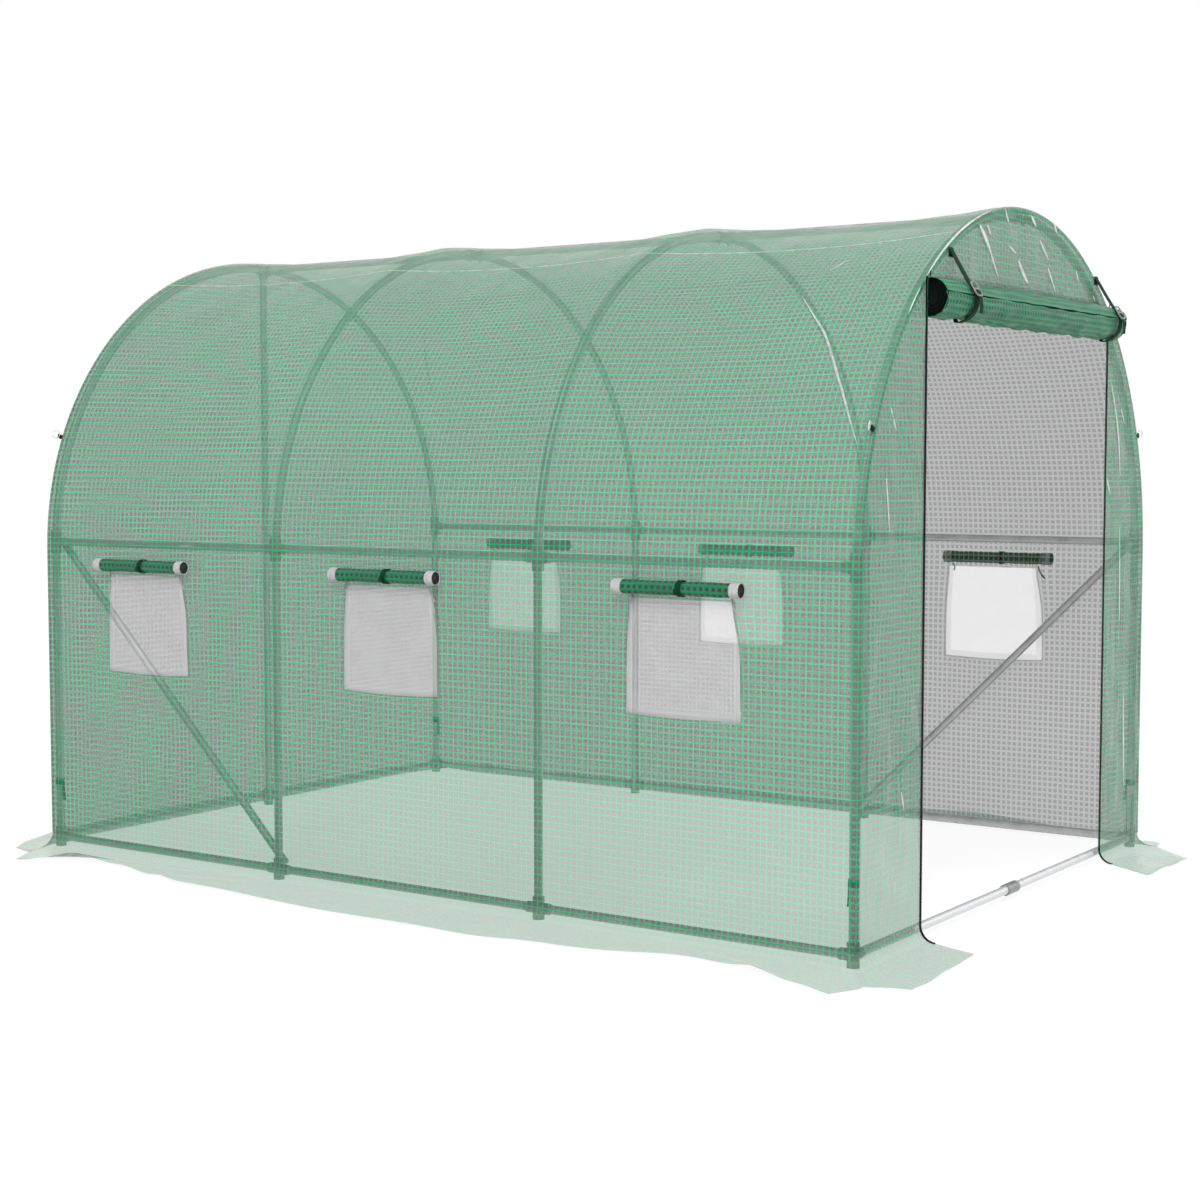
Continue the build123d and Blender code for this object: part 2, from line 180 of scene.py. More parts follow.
class DoorSettings(bpy.types.PropertyGroup):
    """Sizes and colours of the door's straps, buckles and zips."""

    strap_colour: bpy.props.FloatVectorProperty(
        name="Strap colour", description="Colour of the webbing",
        default=(0.004, 0.042, 0.018), **COLOUR)
    buckle_colour: bpy.props.FloatVectorProperty(
        name="Buckle colour", description="Colour of the slide buckles",
        default=(0.30, 0.29, 0.28), **COLOUR)
    zip_width: bpy.props.FloatProperty(
        name="Zip width", description="Width of the zip down each side of the doorway",
        default=0.011, min=0.004, max=0.03, unit="LENGTH", precision=4)
    zip_colour: bpy.props.FloatVectorProperty(
        name="Zip colour", description="Colour of the zips",
        default=(0.001, 0.006, 0.003), **COLOUR)


class TubeSettings(bpy.types.PropertyGroup):
    """Colours of the tubes and their joints."""

    steel: bpy.props.FloatVectorProperty(
        name="Steel", description="Colour of the galvanised tubes",
        default=(0.46, 0.465, 0.47), **COLOUR)


class TunnelSettings(bpy.types.PropertyGroup):
    """All the settings of the polytunnel."""

    film: bpy.props.PointerProperty(type=FilmSettings)
    skirt: bpy.props.PointerProperty(type=SkirtSettings)
    window: bpy.props.PointerProperty(type=WindowSettings)
    roll: bpy.props.PointerProperty(type=RollSettings)
    door: bpy.props.PointerProperty(type=DoorSettings)
    tube: bpy.props.PointerProperty(type=TubeSettings)


# Meshes from arrays

def link(thing):
    """Puts an object in the scene and gives it back."""
    bpy.context.scene.collection.objects.link(thing)
    return thing


def grid_faces(rows, columns, keep=None, wrap=False):
    """Quads of a rows x columns grid of points.

    Keep masks its cells, and wrap joins its last row to its first.
    """
    index = np.arange(rows * columns).reshape(rows, columns)
    if wrap:
        index = np.vstack([index, index[:1]])
    quads = np.stack([index[:-1, :-1], index[1:, :-1], index[1:, 1:], index[:-1, 1:]], axis=-1)
    if keep is not None:
        quads = quads[keep]
    return quads.reshape(-1, 4)


def join_parts(parts):
    """Adds (points, uv, faces, material numbers) parts into one set of arrays."""
    points, uv, faces, slots = [], [], [], []
    base = 0
    for part_points, part_uv, part_faces, part_slots in parts:
        part_points = np.asarray(part_points, float).reshape(-1, 3)
        part_faces = np.asarray(part_faces).reshape(-1, 4)
        points.append(part_points)
        uv.append(np.asarray(part_uv, float).reshape(-1, 2))
        faces.append(part_faces + base)
        slots.append(np.broadcast_to(np.asarray(part_slots), len(part_faces)))
        base += len(part_points)
    return np.concatenate(points), np.concatenate(uv), np.concatenate(faces), np.concatenate(slots)


def make_piece(name, parts, materials, replaced=(), thickness=0, inner_slot=0, weld=False):
    """One mesh object from parts, riding on the frame.  A thickness grows inward from the faces."""
    points, uv, faces, slots = join_parts(parts)
    used, faces = np.unique(faces, return_inverse=True)
    faces = faces.reshape(-1, 4)
    points, uv = points[used], uv[used]
    mesh = bpy.data.meshes.new(name)
    mesh.vertices.add(len(points))
    mesh.vertices.foreach_set("co", points.astype(np.float32).ravel())
    mesh.loops.add(faces.size)
    mesh.loops.foreach_set("vertex_index", faces.astype(np.int32).ravel())
    mesh.polygons.add(len(faces))
    mesh.polygons.foreach_set("loop_start", np.arange(0, faces.size, 4, dtype=np.int32))
    mesh.polygons.foreach_set("material_index", slots.astype(np.int32))
    layer = mesh.uv_layers.new(name="Cloth")
    layer.uv.foreach_set("vector", uv[faces.ravel()].astype(np.float32).ravel())
    for material in materials:
        mesh.materials.append(material)
    mesh.update(calc_edges=True)
    if weld:
        shape = bmesh.new()
        shape.from_mesh(mesh)
        bmesh.ops.remove_doubles(shape, verts=shape.verts, dist=1e-6)
        shape.to_mesh(mesh)
        shape.free()
    mesh.validate()
    mesh.shade_smooth()
    piece = link(bpy.data.objects.new(name, mesh))
    if thickness:
        shell = piece.modifiers.new("Thickness", "SOLIDIFY")
        shell.thickness = thickness
        shell.offset = -1
        shell.use_even_offset = False
        shell.material_offset = inner_slot
        shell.material_offset_rim = 0
    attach(piece, BODY)
    if replaced:
        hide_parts(*replaced)
    return piece


def ripples(a, b, seed, count, shortest, longest):
    """A sum of sine waves of seeded direction, length and phase over the plane (a, b), about one high."""
    rng = np.random.default_rng(seed)
    total = np.zeros(np.broadcast(a, b).shape)
    for _ in range(count):
        heading = rng.uniform(0, TAU)
        length = math.exp(rng.uniform(math.log(shortest), math.log(longest)))
        phase = rng.uniform(0, TAU)
        total = total + np.sin(TAU * (a * math.cos(heading) + b * math.sin(heading)) / length + phase)
    return total / math.sqrt(count)


def rising(distance, reach):
    """0 up to an edge, and then rising evenly to 1 at a reach from it."""
    return np.clip(distance / reach, 0, 1)


def hill(x, middle, width):
    """A smooth hill one high: exp(-((x - middle) / width)^2)."""
    return np.exp(-(((x - middle) / width) ** 2))


def spline(knots, values, at):
    """A curve through values at knots: cubic Hermite spans whose slopes are central differences."""
    knots, values = np.asarray(knots, float), np.asarray(values, float)
    if values.ndim == 1:
        return spline(knots, values[:, None], at)[..., 0]
    slopes = np.gradient(values, knots, axis=0)
    span = np.clip(np.searchsorted(knots, at, side="right") - 1, 0, len(knots) - 2)
    step = (knots[span + 1] - knots[span])[..., None]
    t = ((at - knots[span]) / (knots[span + 1] - knots[span]))[..., None]
    return (
        (2 * t**3 - 3 * t**2 + 1) * values[span]
        + (t**3 - 2 * t**2 + t) * step * slopes[span]
        + (3 * t**2 - 2 * t**3) * values[span + 1]
        + (t**3 - t**2) * step * slopes[span + 1]
    )


def stations(breaks, spacing):
    """Ascending values that hit every break, evenly spread between them at about the spacing."""
    out = [np.array([breaks[0]], float)]
    for low, high in zip(breaks[:-1], breaks[1:]):
        count = max(1, int(round((high - low) / spacing)))
        out.append(np.linspace(low, high, count + 1)[1:])
    return np.concatenate(out)


def xyz(x, y, z):
    """Points from their three measures, which are arrays or single numbers."""
    return np.stack(np.broadcast_arrays(x, y, z), -1)


def unit(v):
    """Vectors scaled to length one along the last axis."""
    return v / np.maximum(np.linalg.norm(v, axis=-1, keepdims=True), 1e-12)


def swept(path, profile, across, closed_path=False):
    """A closed profile carried along a path, with both ends drawn together unless the path is closed.

    The point at path t and profile angle a is path(t) + p(a) * side(t) + q(a) * up(t), where up is
    across made square to the path and side is tangent x up.
    """
    path = np.asarray(path, float)
    profile = np.asarray(profile, float)
    ahead = np.roll(path, -1, 0) - np.roll(path, 1, 0)
    if not closed_path:
        ahead[0], ahead[-1] = path[1] - path[0], path[-1] - path[-2]
    tangent = unit(ahead)
    across = np.broadcast_to(np.asarray(across, float), path.shape)
    up = unit(across - (across * tangent).sum(-1, keepdims=True) * tangent)
    side = np.cross(tangent, up)
    points = path[None] + profile[:, 0, None, None] * side[None] + profile[:, 1, None, None] * up[None]
    steps = np.linalg.norm(np.diff(path, axis=0, append=path[:1]), axis=1)
    along = np.concatenate([[0], np.cumsum(steps[:-1])])
    width = np.linalg.norm(np.diff(profile, axis=0, append=profile[:1]), axis=1)
    round_way = np.concatenate([[0], np.cumsum(width[:-1])])
    if closed_path:
        points = np.concatenate([points, points[:, :1]], axis=1)
        along = np.append(along, along[-1] + steps[-1])
    else:
        first = np.broadcast_to(path[0], points[:, :1].shape)
        last = np.broadcast_to(path[-1], points[:, :1].shape)
        points = np.concatenate([first, points, last], axis=1)
        along = np.concatenate([along[:1], along, along[-1:]])
    uv = np.stack(np.broadcast_arrays(along[None, :], round_way[:, None]), axis=-1)
    return points, uv, grid_faces(len(profile), len(along), wrap=True)


def full_turn(count):
    """Angles evenly round a circle."""
    return np.arange(count) / count * TAU


def round_profile(radius, sides):
    """A circle of points, anticlockwise."""
    angle = full_turn(sides)
    return np.stack([np.cos(angle), np.sin(angle)], axis=-1) * radius


def strap_profile(width, thickness):
    """A flat band's section, thin along its first axis and wide along its second, with rounded edges."""
    half = width / 2 - thickness / 2
    angle = np.linspace(0, math.pi, 5)
    far = np.stack([np.cos(angle) * thickness / 2, half + np.sin(angle) * thickness / 2], axis=-1)
    return np.concatenate([far, -far])


def flattened(angle, back):
    """A circle's radius share where its back is pressed flat, at a share back of it behind the axis.

    1 / r^8 = 1 + (max(-sin a, 0) / back)^8, by the angle forward from straight up.
    """
    return (1 + (np.maximum(-np.sin(angle), 0) / back) ** 8) ** -0.125


def turned_shell(outline, angle, wrinkle, back=None):
    """A surface about the x axis with wrinkles: r(t, a) = outline radius * flattened(a) * (1 + wrinkle).

    The outline is (place along the axis, radius) pairs, and its first and last radius may be 0.
    """
    outline = np.asarray(outline, float)
    a, t = np.broadcast_arrays(angle, np.arange(len(outline))[None])
    radius = outline[t, 1] * (1 + wrinkle) * (flattened(a, back) if back else 1)
    points = np.stack([outline[t, 0], -radius * np.sin(a), radius * np.cos(a)], -1)
    steps = np.concatenate([[0], np.cumsum(np.linalg.norm(np.diff(outline, axis=0), axis=1))])
    turn = angle[:, :1] - angle[:1, :1]
    uv = np.stack([steps[t], np.broadcast_to(turn * outline[:, 1].max(), t.shape)], -1)
    return points, uv, grid_faces(len(angle), len(outline), wrap=True)


# Shader graphs

class Graph:
    """The nodes of a material or a world, added by calls that mostly return output sockets."""

    def __init__(self, name, world=False):
        self.owner = (bpy.data.worlds if world else bpy.data.materials).new(name)
        self.owner.use_nodes = True
        self.tree = self.owner.node_tree
        self.tree.nodes.clear()
        self.output = self.add("OutputWorld" if world else "OutputMaterial")

    def add(self, kind, inputs=None, **settings):
        """A node of a kind, with its settings and its inputs, which are values or sockets."""
        node = self.tree.nodes.new("ShaderNode" + kind)
        for key, value in settings.items():
            setattr(node, key, value)
        for key, value in (inputs or {}).items():
            if isinstance(value, bpy.types.NodeSocket):
                self.tree.links.new(value, node.inputs[key])
            else:
                node.inputs[key].default_value = value
        return node

    def maths(self, operation, a, b=0.0):
        """One arithmetic step."""
        return self.add("Math", {0: a, 1: b}, operation=operation).outputs[0]

    def ramp(self, value, low, high, to_low=0.0, to_high=1.0):
        """A value carried smoothly from one range to another."""
        inputs = {"Value": value, "From Min": low, "From Max": high, "To Min": to_low, "To Max": to_high}
        return self.add("MapRange", inputs, interpolation_type="SMOOTHSTEP").outputs[0]

    def blend(self, share, a, b):
        """A colour between two, by a share."""
        return self.add("Mix", {0: share, 6: a, 7: b}, data_type="RGBA").outputs[2]

    def noise(self, where, scale, detail=3.0, roughness=0.55):
        """Fractal noise from 0 to 1 at a place."""
        inputs = {"Vector": where, "Scale": scale, "Detail": detail, "Roughness": roughness}
        return self.add("TexNoise", inputs).outputs["Fac"]

    def place(self):
        """The point on the piece, in metres."""
        return self.add("TexCoord").outputs["Object"]

    def cloth(self):
        """The point on the flat cloth, in metres."""
        return self.add("UVMap", uv_map="Cloth").outputs["UV"]

    def stretched(self, where, scale, turn=(0, 0, 0)):
        """A place with its axes scaled, to draw a pattern out along one of them."""
        inputs = {"Vector": where, "Scale": scale, "Rotation": turn}
        return self.add("Mapping", inputs).outputs[0]

    def looked_at(self):
        """1 where the camera, a gloss or a clear surface looks at this, 0 where it only lights."""
        path = self.add("LightPath")
        seen = self.maths("MAXIMUM", path.outputs["Is Camera Ray"], path.outputs["Is Glossy Ray"])
        return self.maths("MAXIMUM", seen, path.outputs["Is Transmission Ray"])

    def mixed(self, share, a, b):
        """A shader between two, by a share."""
        return self.add("MixShader", {0: share, 1: a.outputs[0], 2: b.outputs[0]})

    def finish(self, shader):
        """Ends the graph in a shader and gives the material or the world."""
        self.tree.links.new(shader.outputs[0], self.output.inputs["Surface"])
        return self.owner


def colour4(colour, share=1.0):
    """A colour as sockets take it, with full alpha, made lighter or darker by a share."""
    return (*(min(1, c * share) for c in colour[:3]), 1.0)


def tape_mask(graph, where, pitch, width, soft):
    """Two masks, one for each direction of tapes: near 1 on a tape, 0 between two."""
    parts = graph.add("SeparateXYZ", {0: where})
    edge = 0.5 - width / pitch / 2
    masks = []
    for axis in (0, 1):
        cell = graph.maths("FRACT", graph.maths("DIVIDE", parts.outputs[axis], pitch))
        away = graph.maths("ABSOLUTE", graph.maths("SUBTRACT", cell, 0.5))
        masks.append(graph.ramp(away, edge - soft, edge + soft))
    return masks


def one_way(graph, shader, passed):
    """A face that shows from its front alone, and lets a plain share of the lamps' light through."""
    clear = graph.add("BsdfTransparent", {"Color": (1, 1, 1, 1)})
    side = graph.add("NewGeometry").outputs["Backfacing"]
    dim = graph.add("BsdfTransparent", {"Color": (passed, passed, passed, 1)})
    shadow = graph.add("LightPath").outputs["Is Shadow Ray"]
    return graph.mixed(shadow, graph.mixed(side, shader, clear), dim)


def film_finish(name, film, tape_colour, clear_colour, tape_alpha, clear_alpha, creases=0.0):
    """Clear film laminated on woven tapes: the tapes tint it and close it, the squares let through.

    Where it lies on the ground, light comes up through it, so more of the ground shows.
    """
    graph = Graph(name)
    along, across = tape_mask(graph, graph.cloth(), film.pitch, film.tape, 0.035)
    tapes = graph.maths("MAXIMUM", along, across)
    # A thin paler line down the middle of each tape: a painted highlight on its ridge.
    highlight_along, highlight_across = tape_mask(graph, graph.cloth(), film.pitch, film.tape * 0.16, 0.03)
    ridge_highlights = graph.maths("MAXIMUM", highlight_along, highlight_across)
    place = graph.place()
    shade = graph.ramp(graph.noise(place, 2.6, 2.0), 0.3, 0.7, 0.93, 1.07)
    tape = graph.add("VectorMath", {0: tape_colour, "Scale": shade}, operation="SCALE").outputs[0]
    light = colour4([min(1, c * 1.12 + 0.07) for c in tape_colour])
    colour = graph.blend(tapes, colour4(clear_colour), graph.blend(ridge_highlights, tape, light))
    alpha = graph.ramp(tapes, 0.0, 1.0, clear_alpha, tape_alpha)
    above = graph.add("SeparateXYZ", {0: place}).outputs[2]
    alpha = graph.maths("MULTIPLY", alpha, graph.ramp(above, 0.004, 0.052, 0.80, 1.0))
    height = graph.noise(graph.stretched(place, (15, 15, 7)), 1.0, 3.0, 0.55)
    if creases:
        streak = graph.noise(graph.stretched(place, (20, 20, 2.6), (0, math.radians(20), 0)), 1.0, 1.0)
        fold = graph.maths("MULTIPLY", graph.ramp(streak, 0.58, 0.72), creases)
        height = graph.maths("ADD", height, fold)
    normal = graph.add("Bump", {"Height": height, "Strength": 0.6, "Distance": 0.005}).outputs[0]
    shader = graph.add("BsdfPrincipled", {
        "Base Color": colour, "Alpha": alpha, "Roughness": 0.24, "Normal": normal, "IOR": 1.26,
    })
    return graph.finish(one_way(graph, shader, 0.68))


def roll_finish(name, roll, fine=1.0, gain=1.0):
    """Many layers of film lying together: the tapes of the outer turn over darker ones beneath.

    The gain makes the tapes brighter where fewer layers lie under them.
    """
    graph = Graph(name)
    cloth = graph.cloth()
    along, across = tape_mask(graph, cloth, 0.019, 0.0085, 0.06)
    under_cloth = graph.stretched(cloth, (1.04, 0.96, 1))
    under_along, under_across = tape_mask(graph, under_cloth, 0.019, 0.0095, 0.10)
    tapes = graph.maths("MAXIMUM", along, across)
    beneath = graph.maths("MAXIMUM", under_along, under_across)
    patchy = graph.ramp(graph.noise(graph.stretched(cloth, (3, 30, 1)), fine, 3.0), 0.3, 0.7)
    dark = colour4(roll.clear_colour, 0.62)
    low = graph.blend(beneath, dark, colour4(roll.clear_colour))
    tape = graph.blend(patchy, colour4(roll.tape_colour, 0.8 * gain),
                       colour4(roll.tape_colour, 1.2 * gain))
    colour = graph.blend(tapes, low, tape)
    crinkle = graph.noise(graph.stretched(cloth, (9, 60, 1)), fine, 3.0, 0.55)
    height = graph.maths("ADD", graph.maths("MULTIPLY", tapes, 0.10), crinkle)
    normal = graph.add("Bump", {"Height": height, "Strength": 0.6, "Distance": 0.003}).outputs[0]
    shader = graph.add("BsdfPrincipled", {
        "Base Color": colour, "Roughness": 0.40, "Normal": normal, "IOR": 1.32,
    })
    return graph.finish(shader)


def net_finish(name, colour, alpha, pitch=0.0016, mottle=0.06):
    """Fine insect net or thin fabric: threads both ways, with some of the light through it."""
    graph = Graph(name)
    along, across = tape_mask(graph, graph.cloth(), pitch, pitch * 0.45, 0.12)
    threads = graph.maths("MAXIMUM", along, across)
    shade = graph.ramp(graph.noise(graph.place(), 14.0, 3.0), 0.3, 0.7, 1 - mottle, 1 + mottle)
    tint = graph.add("VectorMath", {0: colour, "Scale": shade}, operation="SCALE").outputs[0]
    share = graph.ramp(threads, 0, 1, alpha - 0.05, alpha + 0.05)
    normal = graph.add("Bump", {"Height": threads, "Strength": 0.3, "Distance": 0.0002}).outputs[0]
    shader = graph.add("BsdfPrincipled", {
        "Base Color": tint, "Alpha": share, "Roughness": 0.7, "Normal": normal, "Sheen Weight": 0.1,
    })
    return graph.finish(one_way(graph, shader, 1 - alpha / 2))


def woven_finish(name, colour, pitch=0.0016, roughness=0.6):
    """Webbing: fine diagonal ribs along the band, with painted shade in their grooves and a painted highlight
    on their tops, worn in places.
    """
    graph = Graph(name)
    cloth = graph.cloth()
    parts = graph.add("SeparateXYZ", {0: cloth})
    lean = graph.maths("ADD", parts.outputs[0], graph.maths("MULTIPLY", parts.outputs[1], 0.7))
    wave = graph.maths("SINE", graph.maths("MULTIPLY", lean, TAU / pitch))
    rib = graph.ramp(wave, -1, 1)
    wear = graph.noise(graph.place(), 60.0, 3.0)
    # The ribs' grooves get a darker copy of the colour and their tops a lighter one: painted shade and
    # painted highlight.
    dark, light = colour4(colour, 0.55), colour4(colour, 1.5)
    tint = graph.blend(graph.maths("MULTIPLY", rib, graph.ramp(wear, 0.2, 0.7, 0.5, 1.0)), dark, light)
    normal = graph.add("Bump", {"Height": rib, "Strength": 0.5, "Distance": 0.0004}).outputs[0]
    shader = graph.add("BsdfPrincipled", {
        "Base Color": tint, "Roughness": roughness, "Normal": normal, "Specular IOR Level": 0.08,
    })
    return graph.finish(shader)


def steel_finish(name, colour, roughness=0.5, mottle=0.22):
    """Galvanised steel: a cloudy zinc skin with spangles and dull patches."""
    graph = Graph(name)
    place = graph.place()
    cloud = graph.noise(place, 22.0, 5.0)
    spangle = graph.add("TexVoronoi", {"Vector": place, "Scale": 160.0}).outputs["Distance"]
    dull = graph.maths("ADD", graph.maths("MULTIPLY", cloud, 0.75), graph.maths("MULTIPLY", spangle, 0.25))
    tint = graph.blend(
        graph.ramp(dull, 0.25, 0.65), colour4(colour, 1 - mottle),
        colour4(colour, 1 + mottle * 0.55))
    rough = graph.ramp(dull, 0.2, 0.7, roughness - 0.08, roughness + 0.12)
    normal = graph.add("Bump", {"Height": dull, "Strength": 0.15, "Distance": 0.0005}).outputs[0]
    shader = graph.add("BsdfPrincipled", {
        "Base Color": tint, "Metallic": 0.9, "Roughness": rough, "Normal": normal,
    })
    return graph.finish(shader)


def moulded_finish(name, colour, roughness=0.35, gloss=0.5):
    """Moulded plastic: a fine grain and a faint mottle."""
    graph = Graph(name)
    place = graph.place()
    mottle = graph.noise(place, 90.0, 3.0)
    grain = graph.noise(place, 1400.0, 2.0)
    tint = graph.blend(
        graph.ramp(mottle, 0.3, 0.7), colour4(colour, 0.85), colour4(colour, 1.12))
    normal = graph.add("Bump", {"Height": grain, "Strength": 0.2, "Distance": 0.0003}).outputs[0]
    shader = graph.add("BsdfPrincipled", {
        "Base Color": tint, "Roughness": roughness, "Normal": normal, "Specular IOR Level": gloss,
    })
    return graph.finish(shader)


def material_once(name, make, *values):
    """A material made at its first use and shared after that."""
    return bpy.data.materials.get(name) or make(name, *values)


def film_pair(film, creases=0.0):
    """The outer and the inner face of the film."""
    suffix = " of end walls" if creases else ""
    faces = (
        ("Film outside", film.tape_colour, film.clear_colour, (0.65, 0.58) if creases else (0.61, 0.55)),
        ("Film inside", film.inner_tape_colour, film.inner_clear_colour, (0.57, 0.665)),
    )
    return [material_once(name + suffix, film_finish, film, tape, clear, *alphas, creases)
            for name, tape, clear, alphas in faces]


# The cross-section of the tunnel

def section(along, bend):
    """The tunnel's outline at signed distance along it from the ridge: places and outward normals.

    Over the roof it is the arc R (sin a, cos a) about the shoulder line, then a straight wall, then a
    quarter turn outward of the bend's radius, and then flat on the ground.
    """
    side = np.where(along < 0, -1.0, 1.0)
    a = np.abs(along)
    arc = COVER_RADIUS * QUARTER
    wall = SHOULDER - BEND_TOP
    turn = bend * QUARTER
    over = np.clip(a, 0, arc) / COVER_RADIUS
    down = np.clip(a - arc, 0, wall)
    bent = np.clip(a - arc - wall, 0, turn) / bend
    out = np.clip(a - arc - wall - turn, 0, None)
    x = COVER_RADIUS * np.sin(over) + bend * (1 - np.cos(bent)) + out
    z = SHOULDER + COVER_RADIUS * np.cos(over) - down - bend * np.sin(bent)
    normal_x = np.where(a <= arc, np.sin(over), np.cos(bent))
    normal_z = np.where(a <= arc, np.cos(over), np.sin(bent))
    return side * x, z, side * normal_x, normal_z


def bay_share(y):
    """How far between two hoops a place lies: 0 at a hoop, 1 midway, as the parabola 4 t (1 - t)."""
    places = np.array(HOOP_PLACES)
    span = np.clip(np.searchsorted(places, y, side="right") - 1, 0, len(places) - 2)
    t = np.clip((y - places[span]) / (places[span + 1] - places[span]), 0, 1)
    return 4 * t * (1 - t)


WINDOW_PLACES = (-0.990, 0.030, 1.050)
WINDOW_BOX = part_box("left_window_meshes")
WINDOW_SILL, WINDOW_HEAD = WINDOW_BOX[0].z, WINDOW_BOX[1].z
WINDOW_WIDTH = WINDOW_BOX[1].y - WINDOW_BOX[0].y - (WINDOW_PLACES[-1] - WINDOW_PLACES[0])


def window_warp(y, z, bow):
    """How a window's pull moves the cloth about it: the sill hangs, the upper corners draw in.

    Each window adds -bow * hill(y) * hill(z - sill) downward, and beside its head a pull toward its
    middle that fades with height and distance.
    """
    shift_y, shift_z = np.zeros_like(y), np.zeros_like(z)
    half = WINDOW_WIDTH / 2
    for place in WINDOW_PLACES:
        near = hill(y, place, half * 0.9)
        shift_z = shift_z - bow * near * hill(z, WINDOW_SILL, 0.07)
        for way in (-1, 1):
            edge = hill(y, place + way * half, 0.035) * hill(z, WINDOW_HEAD, 0.10)
            shift_y = shift_y - way * (0.024 if way < 0 else 0.011) * edge
    return shift_y, shift_z


def wall_offset(y, z, film):
    """How far the film of a long wall stands in from the hoop line: it draws in between uprights."""
    return -film.wall_sag * bay_share(y) * rising(z - BEND_TOP, 0.3)


# Outer edges of the side flaps, (y, distance out), for the left and the right side
SIDE_EDGE = ((1.420, 1.272), (1.300, 1.215), (1.110, 1.150), (0.860, 1.205), (0.600, 1.250),
             (-0.220, 1.288), (-0.690, 1.260), (-1.130, 1.165))
FLAP_EDGES = {
    -1: (*SIDE_EDGE, (-1.370, 1.225), (-1.575, 1.288)),
    1: (*SIDE_EDGE, (-1.370, 1.130), (-1.575, 1.100)),
}
# Where the cloth reaches the ground out from each corner, and where its two flaps part, (distance out, y)
REAR_FLARE = ((1.115, 1.500), (1.165, 1.482))
FLARES = {
    (-1, -1): ((1.125, -1.580), (1.192, -1.622)),
    (1, -1): ((1.040, -1.585), (0.990, -1.630)),
    (-1, 1): REAR_FLARE,
    (1, 1): REAR_FLARE,
}
CORNER_REACH = 0.17  # how far from a corner its pull is felt
FLAP_ROWS = 9
FLAP_LIE = 0.003  # height of the lowest parts of the long flaps


def corner_pull(corner, share, flat, tip, past_notch=True):
    """How the end column of a wall or flap is drawn over toward its corner, as (out, y) shifts.

    The share runs 0 to 1 round the bend and 1 to 2 over the flap.  Round the bend the shift grows as
    share^2 to reach the flare, and then the column passes the notch on its way to the flap's tip.
    """
    flare, notch = np.array(FLARES[corner])
    flat, tip = np.array(flat), np.array(tip)
    knots = (1.0, 1.4, 2.0)
    marks = np.stack([flare, notch if past_notch else flare + (tip - flare) * 0.4, tip])
    over = np.clip(share, 1, 2)
    wanted = np.stack([np.interp(over, knots, marks[:, i]) for i in (0, 1)], -1)
    plain = flat + (tip - flat) * (over - 1)[..., None]
    bend = (flare - flat) * (np.clip(share, 0, 1) ** 2)[..., None]
    return np.where((share < 1)[..., None], bend, wanted - plain)


def cover_corner(corner, share, bend):
    """Where the long sheet's end lies round the bend at a corner, as (out, distance from the middle).

    It turns out by bend (1 - cos(share pi / 2)) and is drawn to the flare as share^2.
    """
    flare = FLARES[corner][0]
    x = COVER_RADIUS + bend * (1 - np.cos(share * QUARTER)) + (flare[0] - COVER_RADIUS - bend) * share**2
    return x, CURL_START + (abs(flare[1]) - CURL_START) * share**2


def cover_lengths(bend):
    """Distances along the outline from the ridge to the shoulder, to the bend and to the flat."""
    arc = COVER_RADIUS * QUARTER
    wall = arc + SHOULDER - BEND_TOP
    return arc, wall, wall + bend * QUARTER


def sheet_columns():
    """The columns of the long sheet: where each leaves the straight, its y, its depth inward and its length.

    Past the end hoops y adds FOLD sin(turn) and the depth is FOLD (1 - cos(turn)), until the turn is a
    quarter, and then the hem lies on the end wall.
    """
    edges = [place + way * WINDOW_WIDTH / 2 for place in WINDOW_PLACES for way in (-1, 1)]
    straight = stations([-CURL_START, *sorted([*edges, *HOOP_PLACES[1:-1]]), CURL_START], 0.025)
    curl, hem = np.linspace(0, 1, 6)[1:], np.linspace(0, 1, 4)[1:]
    turned = np.concatenate([curl, np.ones(len(hem))])
    laid = np.concatenate([np.zeros(len(curl)), hem]) * HEM
    none = np.zeros(len(straight))
    turn = np.concatenate([turned[::-1], none, turned])
    fold = np.concatenate([laid[::-1], none, laid])
    end = np.pad(none, len(turned), constant_values=(-1, 1))
    base = np.pad(straight, len(turned), mode="edge")
    inward = FOLD * (1 - np.cos(turn * QUARTER)) + fold
    return base, base + end * FOLD * np.sin(turn * QUARTER), inward, end * (inward + 0.5 * FOLD * turn)


def flap_edge(side, y):
    """Where the outer edge of a long flap lies, (y, distance out), for a place along the straight."""
    share = np.clip((CURL_START - y) / (2 * CURL_START), 0, 1)
    edges = [spline(np.linspace(0, 1, len(edge)), np.array(edge), share) for edge in FLAP_EDGES.values()]
    return np.where((side < 0)[..., None], *edges)


def flap_lift(side, y, share):
    """Height of a ground flap, 0 to about 1: a few long low waves that rise toward the outer edge."""
    left = hill(y, 1.08, 0.16) + hill(y, 0.30, 0.22) * 0.25 + hill(y, -1.13, 0.13) * 0.55
    right = hill(y, -0.70, 0.20) * 0.8 + hill(y, 0.55, 0.25) * 0.5
    small = 0.10 * (1 + np.sin(y * 21 + side)) * share
    return np.where(side < 0, left, right) * share ** 1.5 + small


